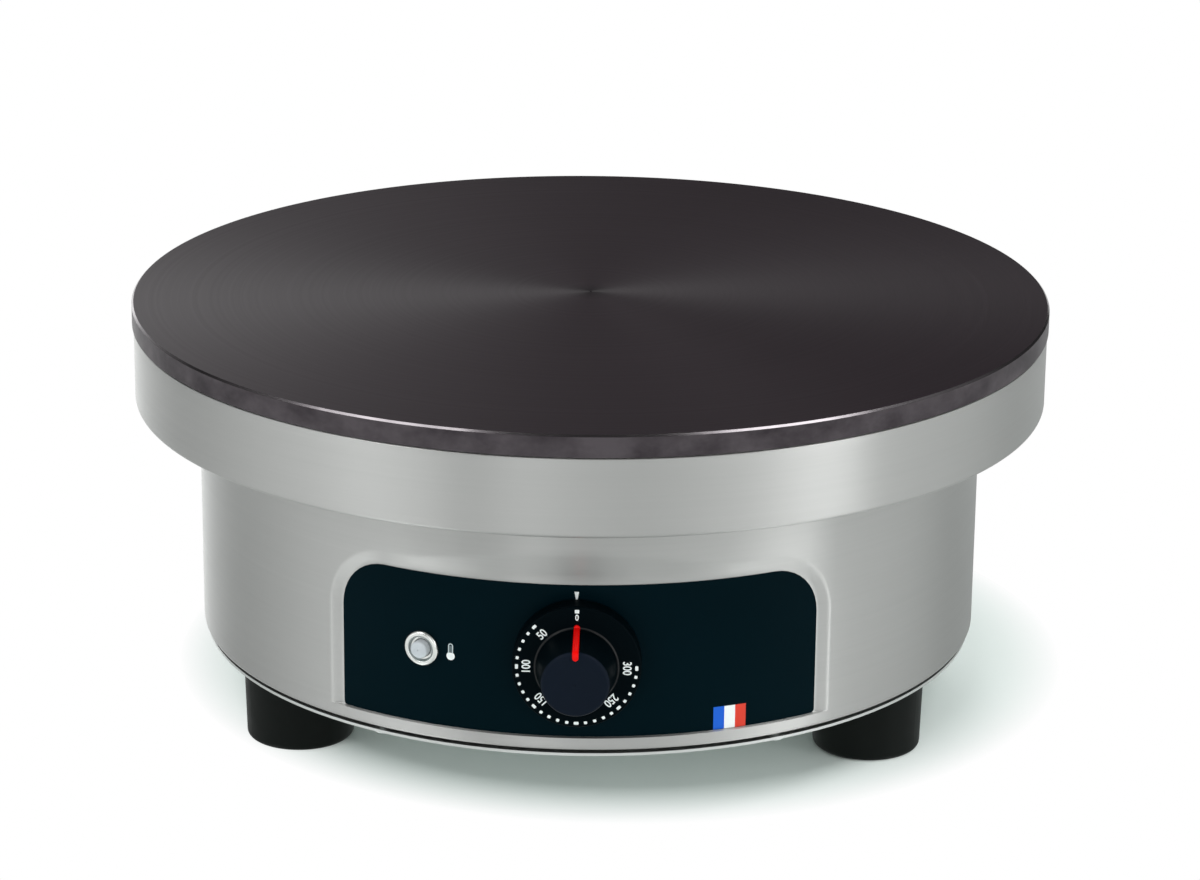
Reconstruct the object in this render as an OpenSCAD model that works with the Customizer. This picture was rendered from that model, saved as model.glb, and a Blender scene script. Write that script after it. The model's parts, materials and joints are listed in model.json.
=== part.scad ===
// Electric crepe maker: a cast iron griddle plate on a round stainless steel casing.
// Millimetres. The origin is on the floor below the centre of the plate, +Z is up and
// the control panel faces -Y.

/* [Griddle plate] */
// Diameter of the griddle plate
plate_d = 400; // [392:2:420]
// Thickness of the plate at the rim, the part that shows
plate_rim_t = 9.5; // [8:0.5:12]
// Thickness of the plate inside the ledge of its rim
plate_t = 14; // [13:0.5:18]
// Width of the ledge that rests on the skirt
plate_ledge_w = 12; // [11.5:0.5:13]
// Chamfer round the top edge
plate_chamfer = 0.8; // [0.4:0.1:1.5]

/* [Heating] */
// Sheath diameter of the tubular heating elements
element_d = 8; // [6.5:0.5:8.5]
// Distance from the outermost turn to the edge of the plate's core
element_inset = 35.5; // [35:0.5:37]
// Distance from one turn to the next
element_pitch = 23; // [22.8:0.1:23.2]
// Free length between the two ends of each element
element_gap = 44; // [42:1:50]
// How much later the outer leg of an element turns down than its inner leg
leg_stagger = 12; // [10:1:16]
// Bend radius where a leg turns down
leg_bend_r = 10; // [8:1:11]
// Length of a leg below the heat shield
leg_below = 18; // [14:1:22]
// How far the sheath stands out of its groove, for the clamp plate to press on
element_proud = 1; // [0.5:0.1:1.5]
// Direction in which the gaps between the element ends lie
element_angle = 30; // [26:1:34]
// Thickness of the clamp plate
clamp_t = 3; // [2:0.5:4]
// Thickness of the insulation blanket
insulation_t = 18; // [14:1:22]

/* [Casing] */
// Wall of the stainless and steel sheet
sheet_t = 1.2; // [1:0.1:1.5]
// How far the plate stands over the skirt all round
plate_overhang = 0.6; // [0.3:0.1:1.5]
// Height of the skirt
skirt_h = 33.4; // [31:0.2:38]
// Thickness of the gasket between skirt and plate
gasket_t = 0.5; // [0.3:0.1:1]
// Radius of the skirt's lower edge
skirt_edge_r = 1.8; // [1.6:0.1:3]
// Diameter of the drum
drum_d = 343.2; // [342:0.2:346]
// Height of the drum
drum_h = 103.6; // [98:0.2:116]
// Radius of the drum's lower edge
drum_edge_r = 4.5; // [3:0.5:5]
// Width of the flange at the top of the drum
flange_top_w = 12; // [11:0.5:13]
// Width of the flange at the bottom of the drum
flange_low_w = 15; // [13:0.5:15]
// Diameter of the base plate
base_d = 337; // [334:1:340]
// Number of screws round the base, and round the joint of skirt and drum
rim_screw_n = 6; // [6:6:12]
// Diameter of the circle of the base screws
base_screw_circle_d = 326; // [324:1:328]

/* [Feet] */
// Height of a foot
foot_h = 32.8; // [30:0.2:40]
// Diameter of a foot at its top
foot_d = 48; // [40:1:52]
// How much narrower a foot is at its bottom
foot_taper = 1.6; // [0:0.2:4]
// Diameter of the circle of the feet and of the tie rods
foot_circle_d = 284; // [283:0.5:285]

/* [Control panel] */
// Half the length of the overlay along the arc of the drum
panel_half_w = 104; // [100:1:108]
// Distance from the bottom of the drum to the bottom of the overlay
panel_low = 7.9; // [7:0.1:10]
// Height of the overlay
panel_h = 65.3; // [62:0.1:68]
// Radius of the overlay's upper corners
panel_corner_r = 21; // [16:1:24]
// Thickness of the overlay
overlay_t = 0.3; // [0.2:0.1:0.5]
// Depth of the pressed recess that holds the overlay
recess_depth = 1.9; // [1.2:0.1:2.2]
// Width of the sloping wall of the recess
recess_wall_w = 7; // [5:0.5:9]
// Height of the knob's axis above the bottom of the drum
knob_above_drum = 41.4; // [40:0.1:43]

/* [Knob] */
// Diameter of the dial skirt
dial_d = 52.4; // [48:0.4:56]
// Thickness of the dial skirt
dial_t = 8.6; // [6:0.2:9]
// Gap between the overlay and the back of the knob
knob_gap = 1; // [0.6:0.1:1.4]
// Diameter of the grip where it meets the dial
grip_base_d = 33.3; // [30:0.1:36]
// Diameter of the grip at its face
grip_face_d = 27.7; // [25:0.1:30]
// How far the grip stands out of the dial
grip_h = 19.5; // [16:0.5:20]
// Wall of the hollow knob
knob_wall = 2.2; // [1.6:0.1:2.6]
// Width of the pointer bar
pointer_w = 2.8; // [2:0.1:4]
// How far the pointer bar stands out of the grip
pointer_proud = 1.1; // [0.6:0.1:1.6]

/* [Thermostat] */
// Diameter of the spindle
spindle_d = 6; // [5.5:0.1:6.5]
// Depth of the flat that keys the knob
spindle_flat = 1.2; // [1:0.1:1.5]
// Width of the thermostat body
thermostat_w = 38; // [36:1:42]
// Height of the thermostat body
thermostat_h = 34; // [30:1:38]
// Depth of the thermostat body
thermostat_depth = 28; // [24:1:32]
// Distance between the two fixing screws
thermostat_screw_pitch = 28; // [26:1:30]
// Gap between the corners of the bracket and the flange at the bottom of the drum
bracket_gap = 2.8; // [2:0.2:4]
// Diameter of the sensor bulb
bulb_d = 6; // [4:0.5:6.5]
// Length of the sensor bulb
bulb_l = 64; // [50:2:70]
// Gap between the sensor bulb and the element turn inside it
bulb_gap = 2.5; // [2.3:0.1:2.8]
// Diameter of the capillary tube
capillary_d = 2; // [1.5:0.1:2.5]

/* [Indicator lamp] */
// Distance of the lamp from the knob along the arc
lamp_arc = 65.4; // [60:0.2:70]
// How far the lamp lies below the knob's axis
lamp_drop = 1.1; // [0:0.1:3]
// Diameter of the bezel
bezel_d = 14.8; // [14:0.2:18]
// How far the bezel stands out of the overlay
bezel_h = 3.2; // [2:0.1:5]
// Diameter of the threaded lamp body
lamp_body_d = 11; // [10:0.5:12]
// Length of the lamp body behind the overlay
lamp_body_l = 30; // [24:1:34]

/* [Mains inlet] */
// Diameter of the supply cable that the gland takes
cable_d = 10; // [8:0.5:11]
// Thread diameter of the cable gland
gland_d = 20; // [18:0.5:22]
// Angle from the front round to the gland
gland_angle = 150; // [148:1:152]
// Height of the gland above the bottom of the drum
gland_above_drum = 41; // [36:1:50]

/* [Clearances] */
// Radial clearance of the turning spindle
running_fit = 0.05; // [0.03:0.01:0.08]
// Radial clearance of screws, studs and rods in their threads and pieces
seat_fit = 0.05; // [0.03:0.01:0.1]
// Radial clearance round anything that passes through a hole
hole_fit = 0.6; // [0.4:0.1:0.8]
// Clearance between the elements and their grooves
groove_fit = 0.2; // [0.1:0.05:0.25]
// Radial clearance between the skirt's top flange and the body of the plate
core_fit = 1.4; // [1:0.1:2]
// Radial clearance between the insulation blanket and the wall of the heat shield
insulation_fit = 0.5; // [0.2:0.1:1]

/* [Hidden] */
$fn = 96;
// Length by which a cutter passes a face, and half its length through the casing wall
over = 1;
through = 20;

// Heights, from the floor up
base_z = foot_h;
drum_z = base_z + sheet_t;
drum_top_z = drum_z + drum_h;
skirt_top_z = drum_top_z + skirt_h;
rim_z = skirt_top_z + gasket_t;
plate_top_z = rim_z + plate_rim_t;
plate_z = plate_top_z - plate_t;
element_z = plate_z + element_d / 2 - element_proud;
clamp_top_z = plate_z - element_proud;
clamp_z = clamp_top_z - clamp_t;
insulation_z = clamp_z - insulation_t;
shield_z = insulation_z - sheet_t;
leg_end_z = shield_z - leg_below;
knob_z = drum_z + knob_above_drum;
lamp_z = knob_z - lamp_drop;
gland_z = drum_z + gland_above_drum;
panel_z = drum_z + panel_low;
panel_top_z = panel_z + panel_h;

// Insets: heat shield, rim of the clamp plate, screws of the joint of skirt and drum, gasket
shield_inset = 2;
clamp_rim = 14;
rim_joint_inset = 6.2;
gasket_inset_out = 1.4;
gasket_inset_in = 0.6;
skirt_rim_r = 0.6;
recess_pad = 1.5;

// Radii. The elements' turns lie inside the plate's core.
turn_n = 6;
plate_r = plate_d / 2;
plate_core_r = plate_r - plate_ledge_w;
skirt_r = plate_r - plate_overhang;
skirt_top_flange_r = plate_core_r + core_fit;
drum_r = drum_d / 2;
drum_in_r = drum_r - sheet_t;
throat_r = drum_r - flange_top_w;
shield_r = plate_core_r - shield_inset;
insulation_r = shield_r - sheet_t - insulation_fit;
element_r_min = plate_core_r - element_inset - (turn_n - 1) * element_pitch;
clamp_r = turn(turn_n - 1) + element_d / 2 + clamp_rim;
foot_r = foot_circle_d / 2;
recess_r = drum_r - recess_depth;
overlay_r = recess_r + overlay_t;
rim_joint_r = drum_r - rim_joint_inset;

// Fasteners: thread, head or nut across flats, head or nut height, washer
m4_d = 4;
m4_head_d = 8;
m4_head_h = 2.6;
m4_edge_r = 1.3;
m4_slot = [4.4, 0.8, 1.2];
m4_nut_af = 7;
m4_nut_h = 3.2;
m6_d = 6;
m6_nut_af = 10;
m6_nut_h = 5;
m8_d = 8;
m8_nut_af = 13;
m8_nut_h = 6.5;
nut_room = 0.3;
washer_t = 1.6;
washer_d = 16;
thread_depth = 9;
thread_end = 0.5;
rivet_nut_d = 7;
rivet_nut_h = 6;

// Elements: turn(0) is the innermost turn, and each element has two. The bulb lies outside one.
function turn(i) = element_r_min + i * element_pitch;
bulb_turn_n = 3;
bulb_r = turn(bulb_turn_n) + (element_d + bulb_d) / 2 + bulb_gap;
function arc_angle(length, r) = length / r * 180 / PI;
function gap_half_angle(i) = arc_angle(element_gap / 2, turn(i));
function leg_angle(i) = i % 2 == 0 ? gap_half_angle(i)
    : gap_half_angle(i - 1) + arc_angle(leg_stagger, turn(i));
function turned(p, a) = [p[0] * cos(a) - p[1] * sin(a), p[0] * sin(a) + p[1] * cos(a)];
function leg_xy(i) = turned([turn(i), -leg_bend_r], leg_angle(i) + element_angle);
knuckle = 0.05;
knuckle_l = 0.3;
bead_h = 4;
bead_d = element_d + 1;
pin_d = 3;
pin_l = 10;
lug_t = 0.8;
lug_z = leg_end_z - bead_h - lug_t;
lug_d = 8.4;
link_d = 2.4;

// Studs of the clamp plate stand between the turns, on two circles
stud_r_inner = turn(1) + element_pitch / 2;
stud_r_outer = turn(3) + element_pitch / 2;
stud_angle_inner = 0;
stud_angle_outer = 60;
stud_below = 2;
stud_end_z = shield_z - m6_nut_h - stud_below;
tie_rod_angle = 90;

// Front of the knob and the thermostat, as distances from the drum's axis towards the front
bush_d = 10;
bush_proud = 3;
spindle_in = 14;
spindle_short = 1.4;
spindle_end = 0.3;
clip_inset = 2;
knob_back = overlay_r + knob_gap;
dial_face = knob_back + dial_t;
knob_face = dial_face + grip_h;
spindle_tip = knob_face - knob_wall - spindle_short;
bracket_half_w = 34;
bracket_reach = sqrt(pow(drum_r - flange_low_w - bracket_gap, 2) - pow(bracket_half_w, 2));
thermostat_front = bracket_reach - sheet_t;
thermostat_back = thermostat_front - thermostat_depth;
bush_tip = bracket_reach + bush_proud;
spindle_root = thermostat_front - spindle_in;
hub_d = 13;
clip_t = 0.4;
clip_w = 4;
blade_w = 6.3;
blade_t = 0.8;
blade_l = 8;
blade_x = 12;
blade_dz = 7;
bracket_above_knob = 22;
bracket_foot = 22;
bracket_screw_x = 24;
bracket_screw_y = sheet_t + bracket_foot / 2 - bracket_reach;

// Lamp and gland, each on its own line out of the drum
lamp_angle = -arc_angle(lamp_arc, overlay_r);
lens_d = 7.4;
lens_fit = 0.4;
lens_seat = bezel_h * 0.4;
bezel_bevel = 0.9;
bezel_land = 1;
lamp_rear = overlay_r - lamp_body_l;
lamp_tab_x = 3;
lamp_tab_l = 7;
lamp_tab_w = 4.8;
gland_hex_af = 24;
gland_lock_af = 25;
gland_lock_h = 5;
gland_dome_thread_d = gland_d - 1;
gland_dome_rim = 1.4;
gland_dome_lip = 2.4;
gland_flange_t = 5;
gland_thread_out = 9;
gland_thread_in = 14;
dome_l = 17;
seal_l = 10;

// Terminal block and earth stud on the base plate, as polar places
block_angle = 60;
block_r = 112;
block_size = [30, 46, 21];
block_way_y = 14;
clamp_size = [22, 8, 9];
clamp_screw_gap = 1.5;
block_screw_x = 10.5;
earth_angle = 22;
earth_r = 118;
earth_d = 5;
earth_nut_af = 8;
earth_nut_h = 4;
earth_stud_l = 16;

// Vent slots in the base plate
vent_n = 12;
vent_r = 48;
vent_l = 32;
vent_w = 8;

// Finishes
iron = [0.20, 0.18, 0.19];
stainless = [0.72, 0.73, 0.72];
zinc = [0.80, 0.81, 0.82];
sheath = [0.35, 0.36, 0.34];
black = [0.04, 0.04, 0.045];
navy = [0.01, 0.08, 0.11];
ceramic = [0.90, 0.88, 0.82];
copper = [0.76, 0.48, 0.30];

module ring(r, hole_r, h) {
    difference() {
        cylinder(r = r, h = h);
        translate([0, 0, -over])
            cylinder(r = hole_r, h = h + 2 * over);
    }
}

module hex_nut(af, hole_d, h) {
    difference() {
        cylinder(d = af / cos(30), h = h, $fn = 6);
        translate([0, 0, -over])
            cylinder(d = hole_d + 2 * seat_fit, h = h + 2 * over);
    }
}

// Pan head screw along Z: its head stands above z = 0 and its shank hangs below
module pan_screw(shank_l) {
    translate([0, 0, -shank_l])
        cylinder(d = m4_d, h = shank_l + m4_head_h / 2);
    difference() {
        rotate_extrude()
            polygon(concat([[0, 0], [m4_head_d / 2, 0]],
                arc_points(m4_head_d / 2 - m4_edge_r, m4_head_h - m4_edge_r, m4_edge_r, 0, 90, 3),
                [[0, m4_head_h]]));
        for (a = [0, 90])
            rotate(a)
                translate([-m4_slot[0] / 2, -m4_slot[1] / 2, m4_head_h - m4_slot[2]])
                    cube([m4_slot[0], m4_slot[1], m4_slot[2] + over]);
    }
}

// Places its children on a line out of the drum, angle degrees round from the front:
// +Z of a child points away from the drum's axis, and -X of a child points up
module outward(angle, r, z) {
    translate([0, 0, z])
        rotate([0, 0, angle - 90])
            translate([r, 0, 0])
                rotate([0, 90, 0])
                    children();
}

module at_tie_rods() {
    for (i = [0:2])
        rotate(tie_rod_angle + 120 * i)
            translate([foot_r, 0, 0])
                children();
}

module at_studs() {
    for (i = [0:2]) {
        rotate(stud_angle_inner + 120 * i)
            translate([stud_r_inner, 0, 0])
                children();
        rotate(stud_angle_outer + 120 * i)
            translate([stud_r_outer, 0, 0])
                children();
    }
}

module at_legs(list = [0:turn_n - 1]) {
    for (i = list)
        translate([leg_xy(i)[0], leg_xy(i)[1], 0])
            children();
}

module at_rim_screws(r, first) {
    for (i = [0:rim_screw_n - 1])
        rotate(first + 360 / rim_screw_n * i)
            translate([r, 0, 0])
                children();
}

// Holes down through a sheet or disc for the legs, studs, tie rods and capillary tube
module service_holes(z, h) {
    translate([0, 0, z - over]) {
        at_legs()
            cylinder(r = element_d / 2 + hole_fit, h = h + 2 * over);
        at_studs()
            cylinder(r = m6_d / 2 + seat_fit, h = h + 2 * over);
        at_tie_rods()
            cylinder(r = m8_d / 2 + hole_fit, h = h + 2 * over);
        translate([capillary_drop[0], capillary_drop[1], 0])
            cylinder(r = capillary_d / 2 + hole_fit, h = h + 2 * over);
    }
}

// Slots for the bends at the top of the legs, a little narrower than the holes they run into
module bend_slots(z, h) {
    for (i = [0:turn_n - 1])
        translate([0, 0, z - over])
            rotate(element_angle + leg_angle(i))
                translate([turn(i) - (element_d + hole_fit) / 2, -leg_bend_r, 0])
                    cube([element_d + hole_fit, leg_bend_r + hole_fit, h + 2 * over]);
}

// ---- Griddle plate and heating ----

// Cross-section of a groove, open to below: its round end takes a tube of radius r
module groove_section(r) {
    circle(r = r);
    translate([-r, -r - plate_t])
        square([2 * r, r + plate_t]);
}

// Path of one hairpin element, first inner turn i. The child is its cross-section.
// Each stretch stops short of its ends by the given length.
module hairpin(i, short = 0) {
    bend_r = element_pitch / 2;
    half = gap_half_angle(i);
    for (k = [i, i + 1]) {
        trim = arc_angle(short, turn(k));
        rotate(leg_angle(k) + trim)
            rotate_extrude(angle = 360 - half - leg_angle(k) - 2 * trim)
                translate([turn(k), 0])
                    children();
    }
    rotate(-half)
        translate([turn(i) + bend_r, 0, 0])
            rotate(arc_angle(short, bend_r))
                rotate_extrude(angle = 180 - 2 * arc_angle(short, bend_r))
                    translate([bend_r, 0])
                        children();
}

// Groove for one element: its stretches meet in round pockets a hair wider
module element_groove(i) {
    r = element_d / 2 + groove_fit;
    pocket_r = r + knuckle;
    translate([0, 0, element_z])
        rotate(element_angle) {
            hairpin(i, knuckle_l)
                groove_section(r);
            for (k = [i, i + 1]) {
                rotate(leg_angle(k))
                    translate([turn(k), -knuckle_l, 0])
                        rotate([90, 0, 0])
                            linear_extrude(leg_bend_r + r - knuckle_l)
                                groove_section(r);
                for (a = [leg_angle(k), -gap_half_angle(i)])
                    rotate(a)
                        translate([turn(k), 0, -plate_t])
                            cylinder(r = pocket_r, h = plate_t + pocket_r);
            }
        }
}

// One hairpin tube. A ball a hair wider than the sheath joins each stretch to the next.
module heating_element(i) {
    leg_l = element_z - leg_bend_r - leg_end_z;
    sheath_r = element_d / 2 - knuckle;
    bend_trim = arc_angle(knuckle_l, leg_bend_r);
    color(sheath)
        translate([0, 0, element_z])
            rotate(element_angle) {
                hairpin(i, knuckle_l)
                    circle(r = sheath_r);
                rotate(-gap_half_angle(i))
                    for (k = [i, i + 1])
                        translate([turn(k), 0, 0])
                            sphere(d = element_d);
                for (k = [i, i + 1])
                    rotate(leg_angle(k))
                        translate([turn(k), 0, -leg_bend_r]) {
                            translate([0, 0, leg_bend_r])
                                sphere(d = element_d);
                            rotate([0, -90, 180])
                                rotate(bend_trim)
                                    rotate_extrude(angle = 90 - 2 * bend_trim)
                                        translate([leg_bend_r, 0])
                                            circle(r = sheath_r);
                            translate([0, -leg_bend_r, 0])
                                sphere(d = element_d);
                            translate([0, -leg_bend_r, -leg_l])
                                cylinder(r = sheath_r, h = leg_l - knuckle_l);
                        }
            }
}

module griddle_plate() {
    color(iron)
        difference() {
            rotate_extrude()
                polygon([[0, plate_z], [plate_core_r, plate_z], [plate_core_r, rim_z], [plate_r, rim_z],
                    [plate_r, plate_top_z - plate_chamfer], [plate_r - plate_chamfer, plate_top_z],
                    [0, plate_top_z]]);
            for (i = [0, 2, 4])
                element_groove(i);
            translate([0, 0, plate_z - over]) {
                at_studs()
                    cylinder(r = m6_d / 2 + seat_fit, h = thread_depth + over);
                at_tie_rods()
                    cylinder(r = m8_d / 2 + seat_fit, h = thread_depth + over);
            }
            translate([0, -bulb_r, bulb_z])
                rotate([90, 0, 90]) {
                    translate([0, 0, -bulb_l / 2 - hole_fit])
                        linear_extrude(bulb_l + 2 * hole_fit)
                            groove_section(bulb_d / 2 + groove_fit);
                    translate([0, 0, -bulb_l / 2 - capillary_bend - capillary_d])
                        linear_extrude(capillary_bend + capillary_d)
                            groove_section(capillary_d / 2 + 2 * groove_fit);
                }
        }
}

module rim_gasket() {
    color(ceramic)
        translate([0, 0, skirt_top_z])
            ring(skirt_r - gasket_inset_out, skirt_top_flange_r + gasket_inset_in, gasket_t);
}

module heating_element_inner() heating_element(0);
module heating_element_middle() heating_element(2);
module heating_element_outer() heating_element(4);

module element_end_beads() {
    color(ceramic)
        translate([0, 0, leg_end_z - bead_h])
            at_legs()
                ring(bead_d / 2, pin_d / 2 + seat_fit, bead_h);
}

module element_pins() {
    color(zinc)
        translate([0, 0, leg_end_z - pin_l])
            at_legs()
                cylinder(d = pin_d, h = pin_l);
}

// Lugs on every second leg, joined by straight lengths of wire
module element_link(first) {
    color(copper)
        difference() {
            for (i = [first, first + 2, first + 4])
                translate([leg_xy(i)[0], leg_xy(i)[1], lug_z]) {
                    cylinder(d = lug_d, h = lug_t);
                    if (i > first) {
                        run = [for (k = [0, 1]) leg_xy(i - 2)[k] - leg_xy(i)[k]];
                        translate([0, 0, lug_t - link_d / 2])
                            rotate([0, 90, atan2(run[1], run[0])])
                                cylinder(d = link_d, h = norm(run));
                    }
                }
            translate([0, 0, lug_z - link_d])
                at_legs([first, first + 2, first + 4])
                    cylinder(r = pin_d / 2 + seat_fit, h = 3 * link_d);
        }
}

module element_link_live() element_link(0);
module element_link_neutral() element_link(1);

module clamp_plate() {
    color(zinc)
        difference() {
            translate([0, 0, clamp_z])
                cylinder(r = clamp_r, h = clamp_t);
            service_holes(clamp_z, clamp_t);
            bend_slots(clamp_z, clamp_t);
        }
}

module plate_studs() {
    color(zinc)
        translate([0, 0, stud_end_z])
            at_studs()
                cylinder(d = m6_d, h = plate_z + thread_depth - thread_end - stud_end_z);
}

// Two nuts on each stud: one holds the clamp plate, one the heat shield
module stud_nuts() {
    color(zinc)
        at_studs()
            for (z = [clamp_z - m6_nut_h, shield_z - m6_nut_h])
                translate([0, 0, z])
                    hex_nut(m6_nut_af, m6_d, m6_nut_h);
}

module insulation_blanket() {
    color(ceramic)
        difference() {
            translate([0, 0, insulation_z])
                cylinder(r = insulation_r, h = insulation_t);
            service_holes(insulation_z, insulation_t);
            bend_slots(insulation_z, insulation_t);
            translate([0, 0, clamp_z - m6_nut_h - nut_room])
                at_studs()
                    cylinder(d = m6_nut_af / cos(30) + 2 * hole_fit, h = m6_nut_h + over);
        }
}

module heat_shield() {
    color(stainless)
        difference() {
            rotate_extrude()
                polygon([[0, shield_z], [shield_r, shield_z], [shield_r, plate_z],
                    [shield_r - sheet_t, plate_z], [shield_r - sheet_t, insulation_z], [0, insulation_z]]);
            service_holes(shield_z, sheet_t);
        }
}

// ---- Casing ----

module tie_rods() {
    rod_z = foot_h - foot_pocket_h - foot_insert_h / 2;
    color(zinc)
        translate([0, 0, rod_z])
            at_tie_rods()
                cylinder(d = m8_d, h = plate_z + thread_depth - thread_end - rod_z);
}

module tie_rod_washers() {
    color(zinc)
        translate([0, 0, base_z - washer_t])
            at_tie_rods()
                ring(washer_d / 2, m8_d / 2 + seat_fit, washer_t);
}

module tie_rod_nuts() {
    color(zinc)
        translate([0, 0, base_z - washer_t - m8_nut_h])
            at_tie_rods()
                hex_nut(m8_nut_af, m8_d, m8_nut_h);
}

// Points of an arc round [x, y] from angle a to angle b
function arc_points(x, y, r, a, b, n = 6) =
    [for (i = [0:n]) [x + r * cos(a + (b - a) * i / n), y + r * sin(a + (b - a) * i / n)]];

module upper_skirt() {
    in_r = skirt_r - sheet_t;
    low = skirt_edge_r;
    color(stainless)
        difference() {
            rotate_extrude()
                polygon(concat(
                    [[throat_r, drum_top_z]],
                    arc_points(skirt_r - low, drum_top_z + low, low, -90, 0),
                    arc_points(skirt_r - skirt_rim_r, skirt_top_z - skirt_rim_r, skirt_rim_r, 0, 90, 3),
                    [[skirt_top_flange_r, skirt_top_z], [skirt_top_flange_r, skirt_top_z - sheet_t],
                        [in_r, skirt_top_z - sheet_t]],
                    arc_points(skirt_r - low, drum_top_z + low, low - sheet_t, 0, -90),
                    [[throat_r, drum_top_z + sheet_t]]));
            translate([0, 0, drum_top_z - over])
                at_rim_screws(rim_joint_r, 30)
                    cylinder(r = m4_d / 2 + seat_fit, h = sheet_t + 2 * over);
        }
}

module skirt_screws() {
    color(zinc)
        translate([0, 0, drum_top_z + sheet_t])
            at_rim_screws(rim_joint_r, 30)
                pan_screw(2 * sheet_t + m4_nut_h + 1);
}

module skirt_nuts() {
    color(zinc)
        translate([0, 0, drum_top_z - sheet_t - m4_nut_h])
            at_rim_screws(rim_joint_r, 30)
                hex_nut(m4_nut_af, m4_d, m4_nut_h);
}

// Outline on the drum's front, half_w wide along an arc of radius r, as seen from the front
function front_x(arc, r) = r * sin(arc_angle(arc, r));
function front_outline(r, half_w, low, high, top_r, low_r) = [for (p = concat(
        arc_points(half_w - top_r, high - top_r, top_r, 0, 90, 10),
        arc_points(top_r - half_w, high - top_r, top_r, 90, 180, 10),
        arc_points(low_r - half_w, low + low_r, low_r, 180, 270, 3),
        arc_points(half_w - low_r, low + low_r, low_r, 270, 360, 3)))
    [front_x(p[0], r), p[1]]];

// The outline, drawn out from the axis through the front of the drum
module front_block(r, half_w, low, high, top_r, low_r) {
    rotate([90, 0, 0])
        linear_extrude(drum_r + through)
            polygon(front_outline(r, half_w, low, high, top_r, low_r));
}

recess_low_lip = 1.2;
recess_corner_r = panel_corner_r + recess_wall_w;
floor_margin = 0.4;
front_low_r = 3;
overlay_low_r = 1.5;
corner_step = 22.5;

// Place on a cylinder of radius r round the drum's axis, arc to the right of the front
function on_front(arc, r, z) = [r * sin(arc_angle(arc, r)), -r * cos(arc_angle(arc, r)), z];

// Block beside the recess whose face is the sloping wall at direction a of the right corner
module corner_wall(a) {
    centre = [panel_half_w - panel_corner_r, panel_top_z - panel_corner_r];
    floor_c = panel_corner_r + floor_margin;
    rim = on_front(centre[0] + recess_corner_r * cos(a), drum_r, centre[1] + recess_corner_r * sin(a));
    low = on_front(centre[0] + floor_c * cos(a), recess_r, centre[1] + floor_c * sin(a));
    front_a = arc_angle(centre[0] + recess_corner_r * cos(a), drum_r);
    along = [-sin(a) * cos(front_a), -sin(a) * sin(front_a), cos(a)];
    up = unit(rim - low);
    inward = unit(cross(along, up));
    half = 2 * recess_corner_r * tan(corner_step / 2);
    points = [for (s = [-half, half], u = [-recess_wall_w - over, 5 * over], n = [0, 5 * over])
        rim + s * along + u * up + n * inward];
    polyhedron(points,
        [[0, 4, 6, 2], [1, 5, 4, 0], [3, 7, 5, 1], [5, 7, 6, 4], [7, 3, 2, 6], [3, 1, 0, 2]]);
}

// Space in front of the pressed recess: flat floor for the overlay, walls that slope out at
// the sides and the top, and a short step below
module recess_space() {
    floor_p = on_front(panel_half_w + floor_margin, recess_r, 0);
    rim_p = on_front(panel_half_w + recess_wall_w, drum_r, 0);
    far = 30;
    far_p = rim_p + unit(rim_p - floor_p) * far;
    left = [for (p = [floor_p, far_p]) [-p[0], p[1]]];
    top_floor_z = panel_top_z + floor_margin;
    top_rim_z = panel_top_z + recess_wall_w;
    difference() {
        intersection() {
            front_block(drum_r, panel_half_w + recess_wall_w + over, panel_z - recess_low_lip,
                top_rim_z + over, recess_corner_r + over, front_low_r);
            rotate_extrude()
                polygon([[recess_r, drum_z], [drum_r + far, drum_z],
                    [drum_r + far, top_rim_z + far], [drum_r, top_rim_z], [recess_r, top_floor_z]]);
            translate([0, 0, drum_z])
                linear_extrude(drum_h)
                    polygon([[0, 0], left[0], left[1], [left[1][0], -drum_r - far],
                        [far_p[0], -drum_r - far], [far_p[0], far_p[1]], [floor_p[0], floor_p[1]]]);
        }
        for (a = [corner_step:corner_step:90 - corner_step / 2]) {
            corner_wall(a);
            mirror([1, 0, 0])
                corner_wall(a);
        }
    }
}

module drum_shell() {
    low = drum_edge_r;
    pad = sheet_t + recess_pad;
    color(stainless)
        difference() {
            union() {
                rotate_extrude()
                    polygon(concat(
                        [[drum_r - flange_low_w, drum_z]],
                        arc_points(drum_r - low, drum_z + low, low, -90, 0),
                        [[drum_r, drum_top_z], [throat_r, drum_top_z], [throat_r, drum_top_z - sheet_t],
                            [drum_in_r, drum_top_z - sheet_t]],
                        arc_points(drum_r - low, drum_z + low, low - sheet_t, 0, -90),
                        [[drum_r - flange_low_w, drum_z + sheet_t]]));
                // The metal that the recess is pressed into
                intersection() {
                    translate([0, 0, drum_z])
                        ring(drum_in_r + sheet_t / 2, recess_r - sheet_t, drum_h);
                    front_block(drum_r, panel_half_w + recess_wall_w, panel_z - pad,
                        panel_top_z + recess_wall_w, recess_corner_r, front_low_r);
                }
            }
            recess_space();
            outward(0, drum_r - through, knob_z)
                cylinder(r = bush_d / 2 + hole_fit, h = 2 * through);
            outward(lamp_angle, drum_r - through, lamp_z)
                cylinder(r = lamp_body_d / 2 + seat_fit, h = 2 * through);
            outward(gland_angle, drum_r - through, gland_z)
                cylinder(r = gland_d / 2 + seat_fit, h = 2 * through);
            translate([0, 0, drum_z - over])
                at_rim_screws(base_screw_circle_d / 2, 0)
                    cylinder(r = m4_d / 2 + seat_fit, h = sheet_t + 2 * over);
            translate([0, 0, drum_top_z - sheet_t - over])
                at_rim_screws(rim_joint_r, 30)
                    cylinder(r = m4_d / 2 + seat_fit, h = sheet_t + 2 * over);
        }
}

module at_block() {
    rotate(block_angle)
        translate([block_r, 0, drum_z])
            children();
}

module at_earth() {
    rotate(earth_angle)
        translate([earth_r, 0, 0])
            children();
}

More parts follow.
